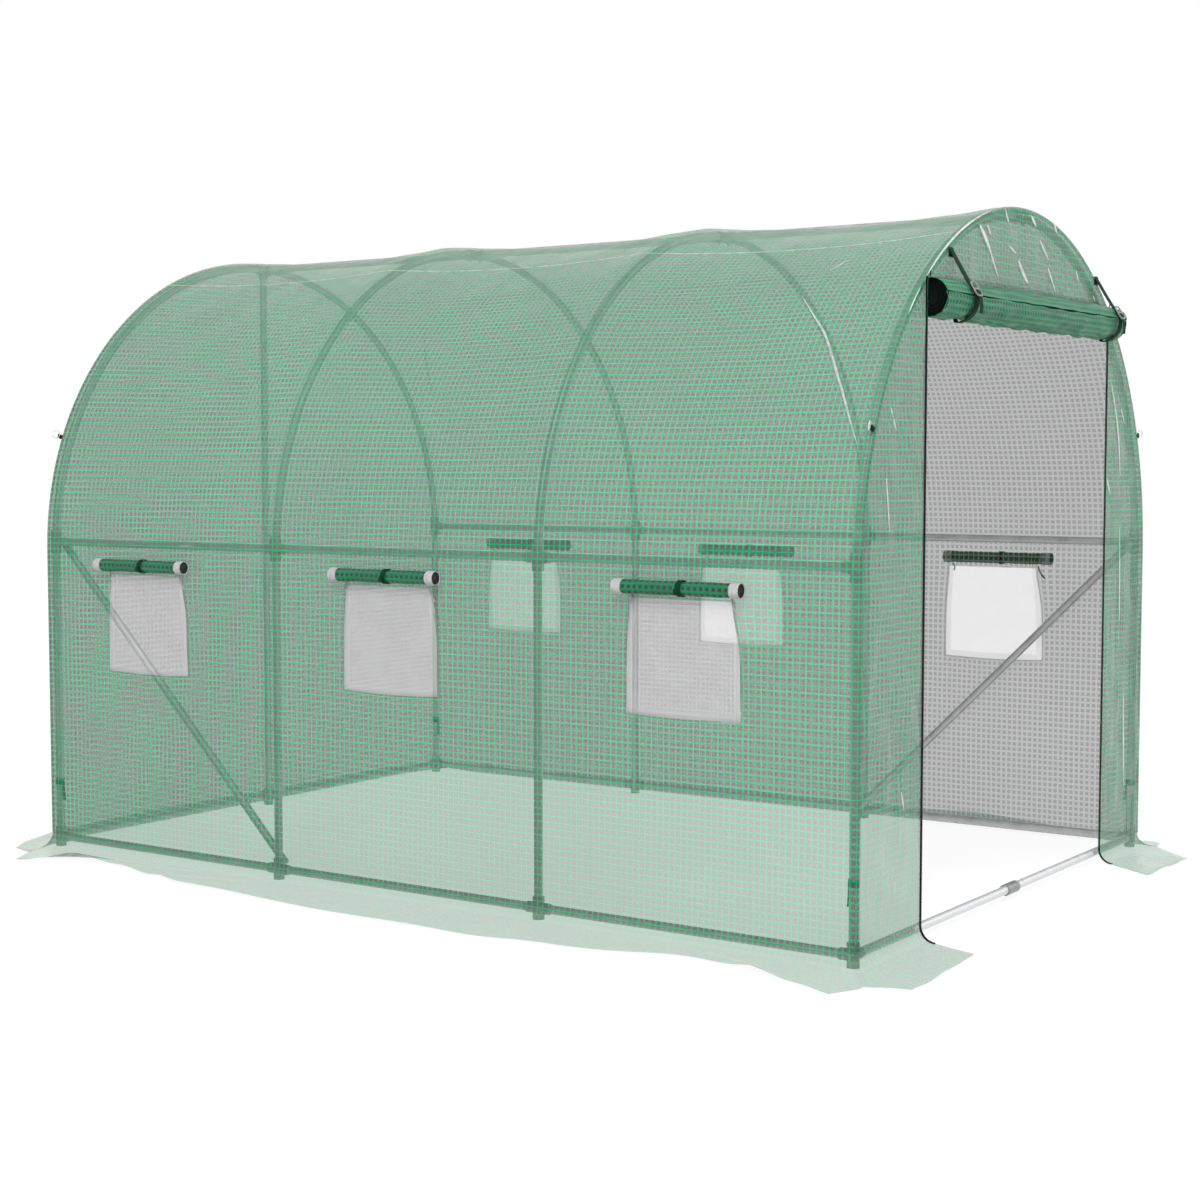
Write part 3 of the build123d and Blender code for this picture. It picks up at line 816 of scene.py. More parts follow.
def cover_surface(settings):
    """The sheet over the hoops, from the edge of one ground flap to the edge of the other.

    P(s, y) = outline(s) + normal(s) * (-sag(s) * bay(y) + ripples), where the columns past the last hoop
    curl round it and lie on the end wall as a hem, and beyond the bend a row runs out to the flap's edge.
    """
    film, skirt = settings.film, settings.skirt
    arc, wall, flat = cover_lengths(skirt.bend)
    sill, head = arc + SHOULDER - WINDOW_SILL, arc + SHOULDER - WINDOW_HEAD
    half_rows = np.concatenate([
        stations((0, arc, head, sill, wall), 0.024),
        stations((wall, flat), 0.009)[1:],
        flat + np.arange(1, FLAP_ROWS + 1) / FLAP_ROWS,
    ])
    rows = np.concatenate([-half_rows[:0:-1], half_rows])
    base_y, columns, inward, past_hoop = sheet_columns()
    s, y = np.meshgrid(rows, columns, indexing="ij")
    a, side = np.abs(s), np.sign(s)
    on_outline = side * np.minimum(a, flat)
    x, z, normal_x, normal_z = section(on_outline, skirt.bend)
    roof = np.cos(np.clip(a / arc, 0, 1) * QUARTER) ** 0.7
    sag = film.wall_sag * rising(wall - a, 0.3) + (film.roof_sag - film.wall_sag) * roof
    fixed = rising(wall - a, 0.15) * rising(CURL_START - np.abs(y), 0.05)
    off = -sag * bay_share(y) + fixed * 0.0016 * ripples(s, y, 11, 14, 0.14, 0.75) - inward[None, :]
    x = x + normal_x * off
    z = z + normal_z * off

    in_flap = np.clip(a - flat, 0, 1)
    on_flap = in_flap > 0
    start_x = COVER_RADIUS + skirt.bend
    edge = flap_edge(side, y)
    flap_x = start_x + (edge[..., 1] - start_x) * in_flap
    x = np.where(on_flap, side * flap_x, x)
    z = np.where(on_flap, FLAP_LIE + flap_lift(side, y, in_flap) * skirt.lift, z)
    placed_y = np.where(on_flap, y + (edge[..., 0] - y) * in_flap, y)
    shift_y, shift_z = window_warp(placed_y, z, settings.window.bow)
    straight = (a > arc * 0.9) & (a < wall)
    placed_y = placed_y + np.where(straight, shift_y, 0)
    z = z + np.where(straight, shift_z, 0)
    share = np.clip((a - wall) / (flat - wall), 0, 1) + in_flap
    for way in FLARES:
        tip = FLAP_EDGES[way[0]][0 if way[1] > 0 else -1]
        pull = corner_pull(way, share, (start_x, way[1] * CURL_START), (tip[1], tip[0]), way != (1, -1))
        near = np.clip(1 - (CURL_START - y * way[1]) / CORNER_REACH, 0, 1) ** 1.5 * (side == way[0])
        x = x + way[0] * pull[..., 0] * near
        placed_y = placed_y + pull[..., 1] * near

    cloth_s = np.where(on_flap, side * (flat + (flap_x - start_x)), on_outline)
    cloth = np.stack([y + np.broadcast_to(past_hoop, y.shape), cloth_s], -1)
    middle_s = np.abs(rows[:-1] + rows[1:]) / 2
    middle_y = (base_y[:-1] + base_y[1:]) / 2
    keep = np.ones((len(rows) - 1, len(columns) - 1), bool)
    in_window = (middle_s > head) & (middle_s < sill)
    for place in WINDOW_PLACES:
        keep[np.ix_(in_window, np.abs(middle_y - place) < WINDOW_WIDTH / 2)] = False
    in_hem = np.abs(columns[:-1] + columns[1:]) / 2 > CURL_START
    keep[np.ix_(middle_s > wall, in_hem)] = False
    return np.stack([x, placed_y, z], -1), cloth, grid_faces(len(rows), len(columns), keep)


class TUNNEL_OT_cover(bpy.types.Operator):
    """Make the sheet over the hoops with its window cut-outs and ground flaps."""

    bl_idname = "tunnel.cover"
    bl_label = "Cover over the hoops"

    def execute(self, context):
        settings = context.scene.tunnel
        points, cloth, faces = cover_surface(settings)
        piece = make_piece(
            "cover_over_hoops", [(points, cloth, faces, 0)], film_pair(settings.film),
            ("left_roof_cover", "right_roof_cover", "left_side_cover", "right_side_cover",
             "left_skirt", "right_skirt"),
            settings.film.thickness, 1)
        return {"FINISHED"}


# End walls

FRONT_FLAP_LEFT = ((-1.147, -1.732), (-0.720, -1.708))
FRONT_FLAP_RIGHT = ((0.544, -1.729), (0.884, -1.740))
REAR_FLAP = ((-1.145, 1.572), (-0.960, 1.668), (-0.420, 1.738), (0.330, 1.716), (0.960, 1.690),
             (1.145, 1.600))


def gable_foot(end, columns, plane, radius, flap, bend, seed):
    """An end wall's rows below its straight part: its flap from the edge inward, and then the bend.

    The wall turns out in a quarter circle, and rows run on from there to the flap's edge.  Gives x, y, z and
    the cloth's two measures, by column and row.
    """
    turn = np.linspace(QUARTER, 0, 8)[:-1]
    bend_x = np.broadcast_to(columns[:, None], (len(columns), len(turn)))
    bend_y = np.broadcast_to(plane + bend * (1 - np.cos(turn)), bend_x.shape)
    bend_z = np.broadcast_to(BEND_TOP - bend * np.sin(turn), bend_x.shape)
    run = np.linspace(1, 0, 9)[:-1]
    edge = np.array(flap)
    share = (columns - columns[0]) / (columns[-1] - columns[0])
    outer = spline(np.linspace(0, 1, len(edge)), edge, share) if len(edge) > 2 else (
        edge[0] + (edge[1] - edge[0]) * share[:, None])
    start_y = plane + bend
    run_x = columns[:, None] + (outer[:, :1] - columns[:, None]) * run
    run_y = start_y + (np.abs(outer[:, 1:]) - start_y) * run
    run_z = 0.003 + 0.006 * run * (1 + ripples(run_x, run_y, seed + 5, 6, 0.12, 0.5)) / 2
    x, y = np.concatenate([run_x, bend_x], axis=1), np.concatenate([run_y, bend_y], axis=1)
    share = np.concatenate([1 + run, turn / QUARTER])
    for side, column in ((-1, 0), (1, -1)):
        if abs(columns[column]) < radius - 0.01 or side * columns[column] < 0:
            continue
        tip = (abs(outer[column, 0]), end * abs(outer[column, 1]))
        pull = corner_pull((side, end), share, (radius, end * start_y), tip)
        near = np.clip(1 - np.abs(columns - columns[column]) / CORNER_REACH, 0, 1)[:, None] ** 1.5
        x = x + side * pull[:, 0] * near
        y = y + end * pull[:, 1] * near
        meet = np.stack(cover_corner((side, end), share, bend))
        blend = np.where(share < 1, np.minimum(1, 4 * share), 0) * near
        x = x + side * (meet[0] - np.abs(x[column])) * blend
        y = y + (meet[1] - y[column]) * blend
    below = BEND_TOP - bend * turn
    cloth_x = np.broadcast_to(columns[:, None], x.shape)
    cloth_z = np.concatenate([below[0] - (run_y - start_y), np.broadcast_to(below, bend_x.shape)], axis=1)
    return x, y, np.concatenate([run_z, bend_z], axis=1), cloth_x, cloth_z


def gable_surface(end, left, right, bottom, settings, flap=None, seed=1):
    """Part of an end wall between two upright lines, with its bend and flap where it has one.

    A column stands at x; up it, z runs from the bottom to the arch, shoulder + sqrt(R^2 - x^2).
    """
    radius = COVER_RADIUS - 0.006
    plane = END_PLANE - 0.0012
    columns = stations([max(left, -radius), min(right, radius)], 0.022)
    up = np.linspace(0, 1, int((SHOULDER + radius - bottom) / 0.022))
    x, t = np.meshgrid(columns, up, indexing="ij")
    top = SHOULDER + np.sqrt(np.maximum(radius**2 - x**2, 0))
    z = bottom + (top - bottom) * t
    hold = rising(top - z, 0.06) * rising(x - left, 0.03) * rising(right - x, 0.03)
    hold = hold * (rising(z - bottom, 0.12) if flap else 1)
    y = plane - 0.0035 * hold * ripples(x, z * 0.6, seed, 12, 0.07, 0.35)
    rows = (x, y, z, x, z)
    if flap:
        foot = gable_foot(end, columns, plane, radius, flap, settings.skirt.bend, seed)
        rows = [np.concatenate(pair, axis=1) for pair in zip(foot, rows)]
    x, y, z, cloth_x, cloth_z = rows
    faces = grid_faces(*x.shape)
    if end > 0:
        faces = faces[:, ::-1]
    return np.stack([x, end * y, z], -1), np.stack([cloth_x, cloth_z], -1), faces


class TUNNEL_OT_end_walls(bpy.types.Operator):
    """Make the film of both end walls, with the flaps beside the doorway and behind."""

    bl_idname = "tunnel.end_walls"
    bl_label = "End walls"

    def execute(self, context):
        settings = context.scene.tunnel
        film = settings.film
        walls = (
            ("front_panel_left", -1, -COVER_RADIUS, DOOR_LEFT, BEND_TOP, FRONT_FLAP_LEFT,
             ("front_left_panel", "front_left_skirt"), 21),
            ("front_panel_right", -1, DOOR_RIGHT, COVER_RADIUS, BEND_TOP, FRONT_FLAP_RIGHT,
             ("front_right_panel", "front_right_skirt"), 22),
            ("header_over_door", -1, DOOR_LEFT, DOOR_RIGHT, HEADER_FOOT, None, ("front_header",), 23),
            ("rear_wall", 1, -COVER_RADIUS, COVER_RADIUS, BEND_TOP, REAR_FLAP,
             ("rear_gable_cover", "rear_skirt"), 24),
        )
        for name, end, left, right, bottom, flap, replaced, seed in walls:
            points, cloth, faces = gable_surface(end, left, right, bottom, settings, flap, seed)
            piece = make_piece(
                name, [(points, cloth, faces, 0)], film_pair(film, 1.5), replaced,
                film.thickness, 1)
        return {"FINISHED"}


# Painted highlights along the sharp creases on the front wall, as (x, z) places and widths in mm
HEADER_CREASE_HIGHLIGHTS = (
    (((-0.334, 1.956), (-0.291, 1.921), (-0.246, 1.875)), 10),
    (((-0.262, 1.893), (-0.234, 1.858), (-0.198, 1.814)), 5),
    (((-0.280, 1.959), (-0.257, 1.934)), 6),
    (((-0.157, 2.015), (-0.137, 1.985), (-0.093, 1.941)), 5),
    (((-0.128, 1.915), (-0.076, 1.896)), 5),
    (((-0.060, 1.880), (-0.022, 1.842), (0.016, 1.813)), 10),
    (((0.098, 1.952), (0.129, 1.924), (0.171, 1.894)), 6),
    (((0.162, 1.877), (0.194, 1.839), (0.231, 1.797)), 5),
    (((0.031, 2.014), (0.072, 1.984)), 7),
    (((0.199, 2.013), (0.231, 1.980)), 7),
    (((0.386, 1.883), (0.409, 1.847)), 5),
    (((0.530, 1.816), (0.554, 1.796)), 5),
)
PANEL_CREASE_HIGHLIGHTS = (
    (((-0.872, 1.440), (-0.840, 1.380)), 4),
    (((-0.900, 1.300), (-0.870, 1.100)), 3),
    (((0.700, 1.560), (0.770, 1.400), (0.800, 1.240)), 6),
    (((0.760, 1.520), (0.830, 1.420)), 4),
    (((0.680, 1.245), (0.710, 1.190)), 6),
    (((0.800, 1.100), (0.815, 0.760)), 4),
    (((0.860, 0.560), (0.880, 0.210)), 5),
    (((-0.790, 0.430), (-0.770, 0.370)), 4),
)
# Painted highlights along the creases over the hoops' film, as (degrees from the ridge, y) places and widths
# in mm
ROOF_CREASE_HIGHLIGHTS = (
    (((-42.3, -1.158), (-47.3, -1.231), (-52.2, -1.301), (-61.2, -1.394), (-66.9, -1.447),
      (-71.0, -1.484)), 8),
    (((-35.9, -1.197), (-32.8, -1.234)), 5),
    (((38.0, 1.240), (47.0, 1.330), (58.0, 1.400)), 7),
)
WELD_ANGLE = math.radians(27)
ON_FILM = 0.0028  # how far out from the hoops' line the creases and welds lie


def drawn(places, count):
    """A smooth path of a count of points through a few places."""
    return spline(np.linspace(0, 1, len(places)), np.array(places), np.linspace(0, 1, count))


def film_sag(film, angle):
    """How deep the film hangs between two hoops at an angle from the ridge, as in cover_surface."""
    roof = np.cos(np.minimum(np.abs(angle) / QUARTER, 1) * QUARTER) ** 0.7
    return film.wall_sag + (film.roof_sag - film.wall_sag) * roof


def on_roof(radius, angle, y):
    """Points at an angle from the ridge: (r sin a, y, shoulder + r cos a)."""
    return xyz(radius * np.sin(angle), y, SHOULDER + radius * np.cos(angle))


def sliver(path, across, width, thickness=0.0007):
    """A thin strip that narrows to a point at both ends: half width w sin(pi t)^0.6 along its path."""
    path = np.asarray(path, float)
    t = np.linspace(0, 1, len(path))
    taper = np.maximum(np.sin(math.pi * t), 0) ** 0.6
    taper[[0, -1]] = 0
    across = unit(np.broadcast_to(np.asarray(across, float), path.shape))
    out = unit(np.cross(unit(np.gradient(path, axis=0)), across))
    points = np.stack([
        path + u * across * (taper * width / 2)[:, None] + v * out * (taper * thickness / 2)[:, None]
        for u, v in ((1, 0), (0, 1), (-1, 0), (0, -1))])
    uv = np.stack(np.broadcast_arrays(t[None], np.arange(4)[:, None] * width), -1)
    return points, uv, grid_faces(4, len(path), wrap=True)


def crease_highlight_finish(name, colour, alpha):
    """A painted highlight along a crease of the film: pale and cloudy."""
    graph = Graph(name)
    cloud = graph.noise(graph.place(), 45.0, 2.0)
    tint = graph.blend(cloud, colour4(colour, 0.94), colour4(colour, 1.06))
    share = graph.ramp(cloud, 0.3, 0.7, alpha - 0.15, alpha + 0.15)
    normal = graph.add("Bump", {"Height": cloud, "Strength": 0.3, "Distance": 0.001}).outputs[0]
    shader = graph.add("BsdfPrincipled", {
        "Base Color": tint, "Alpha": share, "Roughness": 0.35, "Normal": normal,
    })
    return graph.finish(one_way(graph, shader, 1 - alpha / 2))


class TUNNEL_OT_crease_highlights(bpy.types.Operator):
    """Make the painted highlights along the film's sharp creases, over its folds at the end hoops and on the
    welds along the roof.
    """

    bl_idname = "tunnel.creases"
    bl_label = "Creases and welds"

    def execute(self, context):
        film = context.scene.tunnel.film
        # Pale, part-clear slivers: painted highlights, strong along creases and folds, faint along the roof's
        # creases and welds.
        strong_highlight = material_once("Crease", crease_highlight_finish, film.crease_highlight_colour, 0.82)
        # Weld: a fainter painted highlight, for the roof's creases and welds.
        faint = material_once("Weld", crease_highlight_finish, film.crease_highlight_colour, 0.50)
        parts = self.on_front() + self.over_roof(film) + self.beside_hoops()
        make_piece("crease_highlights", parts, [strong_highlight, faint], (), weld=True)
        make_piece("roof_weld_highlights", self.welds(film), [faint], (), weld=True)
        return {"FINISHED"}

    def on_front(self):
        """Painted highlights along the creases of the header and the front panels, as pale slivers on their
        plane.
        """
        parts = []
        for places, width in HEADER_CREASE_HIGHLIGHTS + PANEL_CREASE_HIGHLIGHTS:
            x, z = drawn(places, 14).T
            path = xyz(x, -END_PLANE - 0.0012, z)
            across = np.cross(unit(np.gradient(path, axis=0)), Y_AXIS)
            parts.append((*sliver(path, across, width * 2.0 * MM), 0))
        return parts

    def over_roof(self, film):
        """Painted highlights along the creases over the hoops' film, as pale slivers that lie on its sag."""
        parts = []
        for places, width in ROOF_CREASE_HIGHLIGHTS:
            degrees, y = drawn(places, 30).T
            angle = np.radians(degrees)
            path = on_roof(COVER_RADIUS + ON_FILM - film_sag(film, angle) * bay_share(y), angle, y)
            out = xyz(np.sin(angle), 0, np.cos(angle))
            across = np.cross(unit(np.gradient(path, axis=0)), out)
            parts.append((*sliver(path, across, width * MM), 1))
        return parts

    def beside_hoops(self):
        """Painted highlights on the folds where the film bends over an end hoop, as pale slivers along its
        arc.
        """
        parts = []
        for end in (-1, 1):
            for low, high, width, lift in ((14, 41, 6, 0.0008), (42.5, 48.5, 3.5, 0.0010)):
                angle = -np.radians(np.linspace(low, high, 40))
                path = on_roof(COVER_RADIUS - 0.0015, angle, end * (END_PLANE - 0.0015 + lift))
                outward = xyz(np.sin(angle), -end, np.cos(angle))
                parts.append((*sliver(path, outward, width * MM, 0.0012), 0))
        return parts

    def welds(self, film):
        """Painted highlights on the two welds along the roof, as pale flat bands that lie on its sag."""
        y = np.linspace(-END_PLANE + 0.01, END_PLANE - 0.01, 90)
        bands = []
        for angle in (-WELD_ANGLE, WELD_ANGLE):
            path = on_roof(COVER_RADIUS + ON_FILM - film_sag(film, angle) * bay_share(y), angle, y)
            across = (math.cos(angle), 0, -math.sin(angle))
            bands.append((*swept(path, strap_profile(0.0036, 0.0006), across), 0))
        return bands


# Windows

def window_surface(side, place, settings):
    """One window's net with its sewn border, bowed as the wall is.

    Q(y, z) = (wall x, y, z) moved by the pull that the window gives the cloth, over the opening and a
    margin round it.  Faces within the border's width of the opening's edge are the border.
    """
    margin = 0.006
    half = WINDOW_WIDTH / 2
    border = settings.window.border
    y = stations((-half - margin, -half + border, half - border, half + margin), 0.024) + place
    z = stations((WINDOW_SILL - margin, WINDOW_SILL + border, WINDOW_HEAD + 0.004), 0.024)
    yy, zz = np.meshgrid(y, z, indexing="ij")
    shift_y, shift_z = window_warp(yy, zz, settings.window.bow)
    off = wall_offset(yy, zz, settings.film)
    loose = 0.0022 * ripples(yy, zz, 40 + int(10 * place), 8, 0.05, 0.2)
    loose = loose * rising(half - np.abs(yy - place), 0.05) * rising(zz - WINDOW_SILL, 0.05)
    x = side * (COVER_RADIUS + off - 0.0022 + loose)
    points = np.stack([x, yy + shift_y, zz + shift_z], -1)
    faces = grid_faces(len(y), len(z))
    if side < 0:
        faces = faces[:, ::-1]
    middle_y, middle_z = (y[:-1] + y[1:]) / 2, (z[:-1] + z[1:]) / 2
    in_border = (np.abs(middle_y - place)[:, None] > half - border) | (middle_z < WINDOW_SILL + border)[None]
    return points, np.stack([yy, zz], -1), faces, np.where(in_border.ravel(), 1, 0)


class TUNNEL_OT_window_nets(bpy.types.Operator):
    """Make the nets that close the windows, with their sewn borders."""

    bl_idname = "tunnel.window_nets"
    bl_label = "Window nets"

    def execute(self, context):
        settings = context.scene.tunnel
        window = settings.window
        net = material_once("Insect net", net_finish, window.net_colour, 0.30)
        border = material_once("Window border", net_finish, window.border_colour, 0.44, 0.0024, 0.03)
        for side, name in ((-1, "left"), (1, "right")):
            parts = [window_surface(side, place, settings) for place in WINDOW_PLACES]
            piece = make_piece(
                f"{name}_window_nets", parts, [net, border], (f"{name}_window_meshes",), 0.0005)
        return {"FINISHED"}


def roll_outline(half, radius, wall, depth, columns):
    """Half-section of an open roll: in from the bottom of one mouth, along the outside, and in again."""
    lip = wall / 2
    mouth = [(-half + depth, 0), (-half + depth, radius - wall), (-half + 0.002, radius - wall),
             (-half, radius - lip), (-half + 0.0015, radius - 0.0004)]
    along = np.linspace(-half + 0.004, half - 0.004, columns)
    outside = [(x, radius) for x in along]
    return np.array(mouth + outside + [(-x, r) for x, r in mouth[::-1]])


def roll_parts(half, radius, wall, depth, columns, sides, wrinkle, lap, swap, centre, edge=200, back=None):
    """A rolled sheet about an axis: turned_shell with a step where its free edge lies, as a spiral has.

    The free edge wavers about its angle, in degrees forward from straight up.
    """
    outline = roll_outline(half, radius, wall, depth, columns)
    share = np.arange(sides) / sides
    if back:
        fine = np.linspace(0, TAU, 2001) + math.radians(edge)
        r = flattened(fine, back)
        steps = np.hypot(np.diff(r * np.sin(fine)), np.diff(r * np.cos(fine)))
        length = np.concatenate([[0], np.cumsum(steps)])
        share = np.interp(share * length[-1], length, fine - fine[0]) / TAU
    spiral = -lap * (1 - share[:, None]) * np.ones(len(outline))[None]
    rough = wrinkle(outline[None, :, 0], share[:, None] * TAU + math.radians(edge))
    outer = (outline[:, 1] >= radius - wall / 2)[None]
    angle = math.radians(edge) + share[:, None] * TAU + np.zeros((1, len(outline)))
    if back:
        waver = 0.05 * ripples(outline[:, 0], 0 * outline[:, 0], 90, 5, 0.12, 0.6)
        angle = angle + waver * np.exp(-12 * share[:, None])
    points, uv, faces = turned_shell(outline, angle, np.where(outer, spiral + rough, 0), back)
    column = np.tile(np.arange(len(outline) - 1), sides)
    # Faces of material 1 are dark: painted shade in the mouths at both ends of a roll.
    inside = (column < 2) | (column > len(outline) - 4)
    # On the door roll, the step under the free edge gets it too: a painted shadow.
    if back:
        inside |= np.repeat(np.arange(sides), len(outline) - 1) == sides - 1
    if swap:
        points = points[..., [1, 0, 2]]
        faces = faces[:, ::-1]
    return points + np.array(centre), uv, faces, np.where(inside, 1, 0)


class TUNNEL_OT_window_rolls(bpy.types.Operator):
    """Make the rolled-up window flaps with their end sleeves, bands and tie tails."""

    bl_idname = "tunnel.window_rolls"
    bl_label = "Rolled window flaps"

    def execute(self, context):
        settings = context.scene.tunnel
        window, door = settings.window, settings.door
        cloth = material_once("Rolled flap", roll_finish, settings.roll, 2.0, 1.15)
        # The flaps' and sleeves' mouths get a dark grey: painted shade.
        painted_shade = material_once("Flap hollow", moulded_finish, (0.05, 0.055, 0.052), 0.8, 0.1)
        sleeve = material_once("End sleeve", moulded_finish, window.end_colour, 0.5)
        webbing = material_once("Green webbing", woven_finish, door.strap_colour)
        for side, name in ((-1, "left"), (1, "right")):
            low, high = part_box(f"{name}_window_rolls")
            radius = (high.z - low.z) / 2
            middle = (low + high) / 2
            half = (high.y - low.y - (WINDOW_PLACES[-1] - WINDOW_PLACES[0])) / 2
            rolls, sleeves = [], []
            for number, place in enumerate(WINDOW_PLACES):
                seed = 60 + number + 5 * (side > 0)

                def wrinkle(x, a, seed=seed):
                    band = hill(x, -0.015, 0.02)
                    return 0.030 * ripples(x * 0.5, a * radius, seed, 10, 0.012, 0.07) - 0.05 * band

                rolls.append(roll_parts(
                    half - window.end_band + 0.002, radius - 0.0014, 0.002, 0.02, 60, 40, wrinkle, 0.06, True,
                    (middle.x, place, middle.z)))
                for end in (-1, 1):
                    centre = (middle.x, place + end * (half - window.end_band / 2), middle.z)
                    sleeves.append(roll_parts(
                        window.end_band / 2, radius - 0.0002, 0.0030, 0.026, 6, 40,
                        lambda x, a: 0 * x + 0.006 * np.sin(3 * a), 0.0, True, centre))
            make_piece(
                f"{name}_flap_rolls", rolls, [cloth, painted_shade], (f"{name}_window_rolls",), weld=True)
            make_piece(f"{name}_roll_sleeves", sleeves, [sleeve, painted_shade], (), weld=True)
        bands = []
        for side in (-1, 1):
            middle = box_middle("left_window_rolls")
            centre_x, centre_z = side * abs(middle.x), middle.z
            low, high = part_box("left_window_rolls")
            radius = (high.z - low.z) / 2 + 0.0004
            for place in WINDOW_PLACES:
                bands.append((*self.band(side, centre_x, place - 0.015, centre_z, radius), 0))
                bands.append((*self.tail(side, centre_x, place - 0.012, centre_z, radius), 0))
        make_piece("window_bands", bands, [webbing], ("window_straps",), weld=True)
        ties = []
        pale = material_once("Pale tape", woven_finish, (0.42, 0.45, 0.43), 0.001, 0.7)
        for side in (-1, 1):
            for place in WINDOW_PLACES:
                ties += [(*self.tie(side, place, way), 0) for way in (-1, 1)]
        make_piece("window_tie_tapes", ties, [pale], (), weld=True)
        return {"FINISHED"}

    def band(self, side, x, y, z, radius):
        """A flat band closed round a roll: the circle r (cos a, sin a) about the roll's axis."""
        angle = full_turn(48)
        path = xyz(x + radius * np.cos(angle) * side, y, z + radius * np.sin(angle))
        return swept(path, strap_profile(0.017, 0.0014), Y_AXIS, closed_path=True)

    def tail(self, side, x, y, z, radius):
        """The band's free end: it leaves the roll in front and hangs with a slight curl."""
        t = np.linspace(0, 1, 14)
        out = radius + 0.0012 + 0.0015 * np.sin(t * math.pi)
        path = xyz(x + side * out * np.cos(t * 0.75), y + 0.004 * t, z - 0.001 - out * np.sin(t * 0.75))
        return swept(path, strap_profile(0.015, 0.0012), Y_AXIS)

    def tie(self, side, place, way):
        """A thin pale tape from under the roll's end: it hangs and bends out a little at its end."""
        t = np.linspace(0, 1, 16)
        x = side * (COVER_RADIUS + 0.004 + 0.006 * t**2)
        y = place + way * (WINDOW_WIDTH / 2 - 0.020 + 0.012 * (1 - way) * t - 0.006 * np.sin(t * 3))
        z = WINDOW_HEAD + 0.008 - (0.034 - 0.010 * way) * t
        return swept(xyz(x, y, z), strap_profile(0.006, 0.001), Y_AXIS)


# Door

DOOR_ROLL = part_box("door_roll")
ROLL_RADIUS = (DOOR_ROLL[1].z - DOOR_ROLL[0].z) / 2
ROLL_CENTRE = Vector((
    (DOOR_ROLL[0].x + DOOR_ROLL[1].x) / 2 - 0.004, DOOR_ROLL[0].y + ROLL_RADIUS,
    (DOOR_ROLL[0].z + DOOR_ROLL[1].z) / 2))
ROLL_BACK = DOOR_ROLL[1].y - ROLL_CENTRE.y
ROLL_HALF = (DOOR_ROLL[1].x - DOOR_ROLL[0].x) / 2 + 0.005
STRAP_PLACES = (-0.490, 0.598)
STRAP_TOPS = (-0.522, 0.551)
BUCKLE_WIDTH, BUCKLE_HEIGHT = 0.036, 0.043


class TUNNEL_OT_door_roll(bpy.types.Operator):
    """Make the rolled-up door with its open ends, free edge and creases, with painted shade in its ends and a
    painted shadow under its free edge.
    """

    bl_idname = "tunnel.door_roll"
    bl_label = "Rolled door"

    def execute(self, context):
        settings = context.scene.tunnel
        depth = settings.roll.creases
        cloth = material_once("Rolled door", roll_finish, settings.roll, 1.0, 1.6)
        # The door roll's ends and the step under its free edge get near black: painted shade.
        painted_shade = material_once("Roll hollow", moulded_finish, (0.003, 0.005, 0.004), 0.8, 0.1)

        def wrinkle(x, a):
            squeezed = sum(hill(x, place, 0.030) for place in STRAP_PLACES)
            creases = ripples(x * 0.22, a * ROLL_RADIUS, 71, 16, 0.018, 0.09)
            short = ripples(x * 0.9, a * ROLL_RADIUS * 1.2, 72, 9, 0.05, 0.14)
            below = np.clip(-np.cos(a), 0, 1)
            swell = 0.010 * np.cos(x / STRAP_PLACES[1] * QUARTER * 0.9)
            return (depth * creases + depth * 0.8 * below * short) / ROLL_RADIUS - 0.05 * squeezed + swell

        parts = [roll_parts(
            ROLL_HALF, ROLL_RADIUS - 0.0012, 0.0030, 0.008, 220, 110, wrinkle, 0.055, False,
            tuple(ROLL_CENTRE), 76, ROLL_BACK / ROLL_RADIUS)]
        parts += [self.spiral(end) for end in (-1, 1)]
        make_piece("rolled_door", parts, [cloth, painted_shade], ("door_roll",), weld=True)
        return {"FINISHED"}

    def spiral(self, end):
        """The turns on the roll's end: r(a) falls evenly over three turns, as a thin ridge in the end's dark
        painted shade.
        """
        a = np.linspace(0, 3 * TAU, 220)
        r = (ROLL_RADIUS - 0.010 - 0.030 * a / a[-1]) * flattened(a, ROLL_BACK / ROLL_RADIUS)
        path = on_plane(ROLL_CENTRE.x + end * (ROLL_HALF - 0.009), roll_point(a, r))
        points, uv, faces = swept(path, strap_profile(0.008, 0.0012), X_AXIS)
        return points, uv, faces, 1


def roll_point(angle, radius):
    """Places about the roll's axis in the plane across it, by the angle forward from straight up."""
    return np.stack([ROLL_CENTRE.y - radius * np.sin(angle), ROLL_CENTRE.z + radius * np.cos(angle)], -1)


def on_plane(x, yz):
    """Points at x from their y and z."""
    return xyz(x, *yz.T)


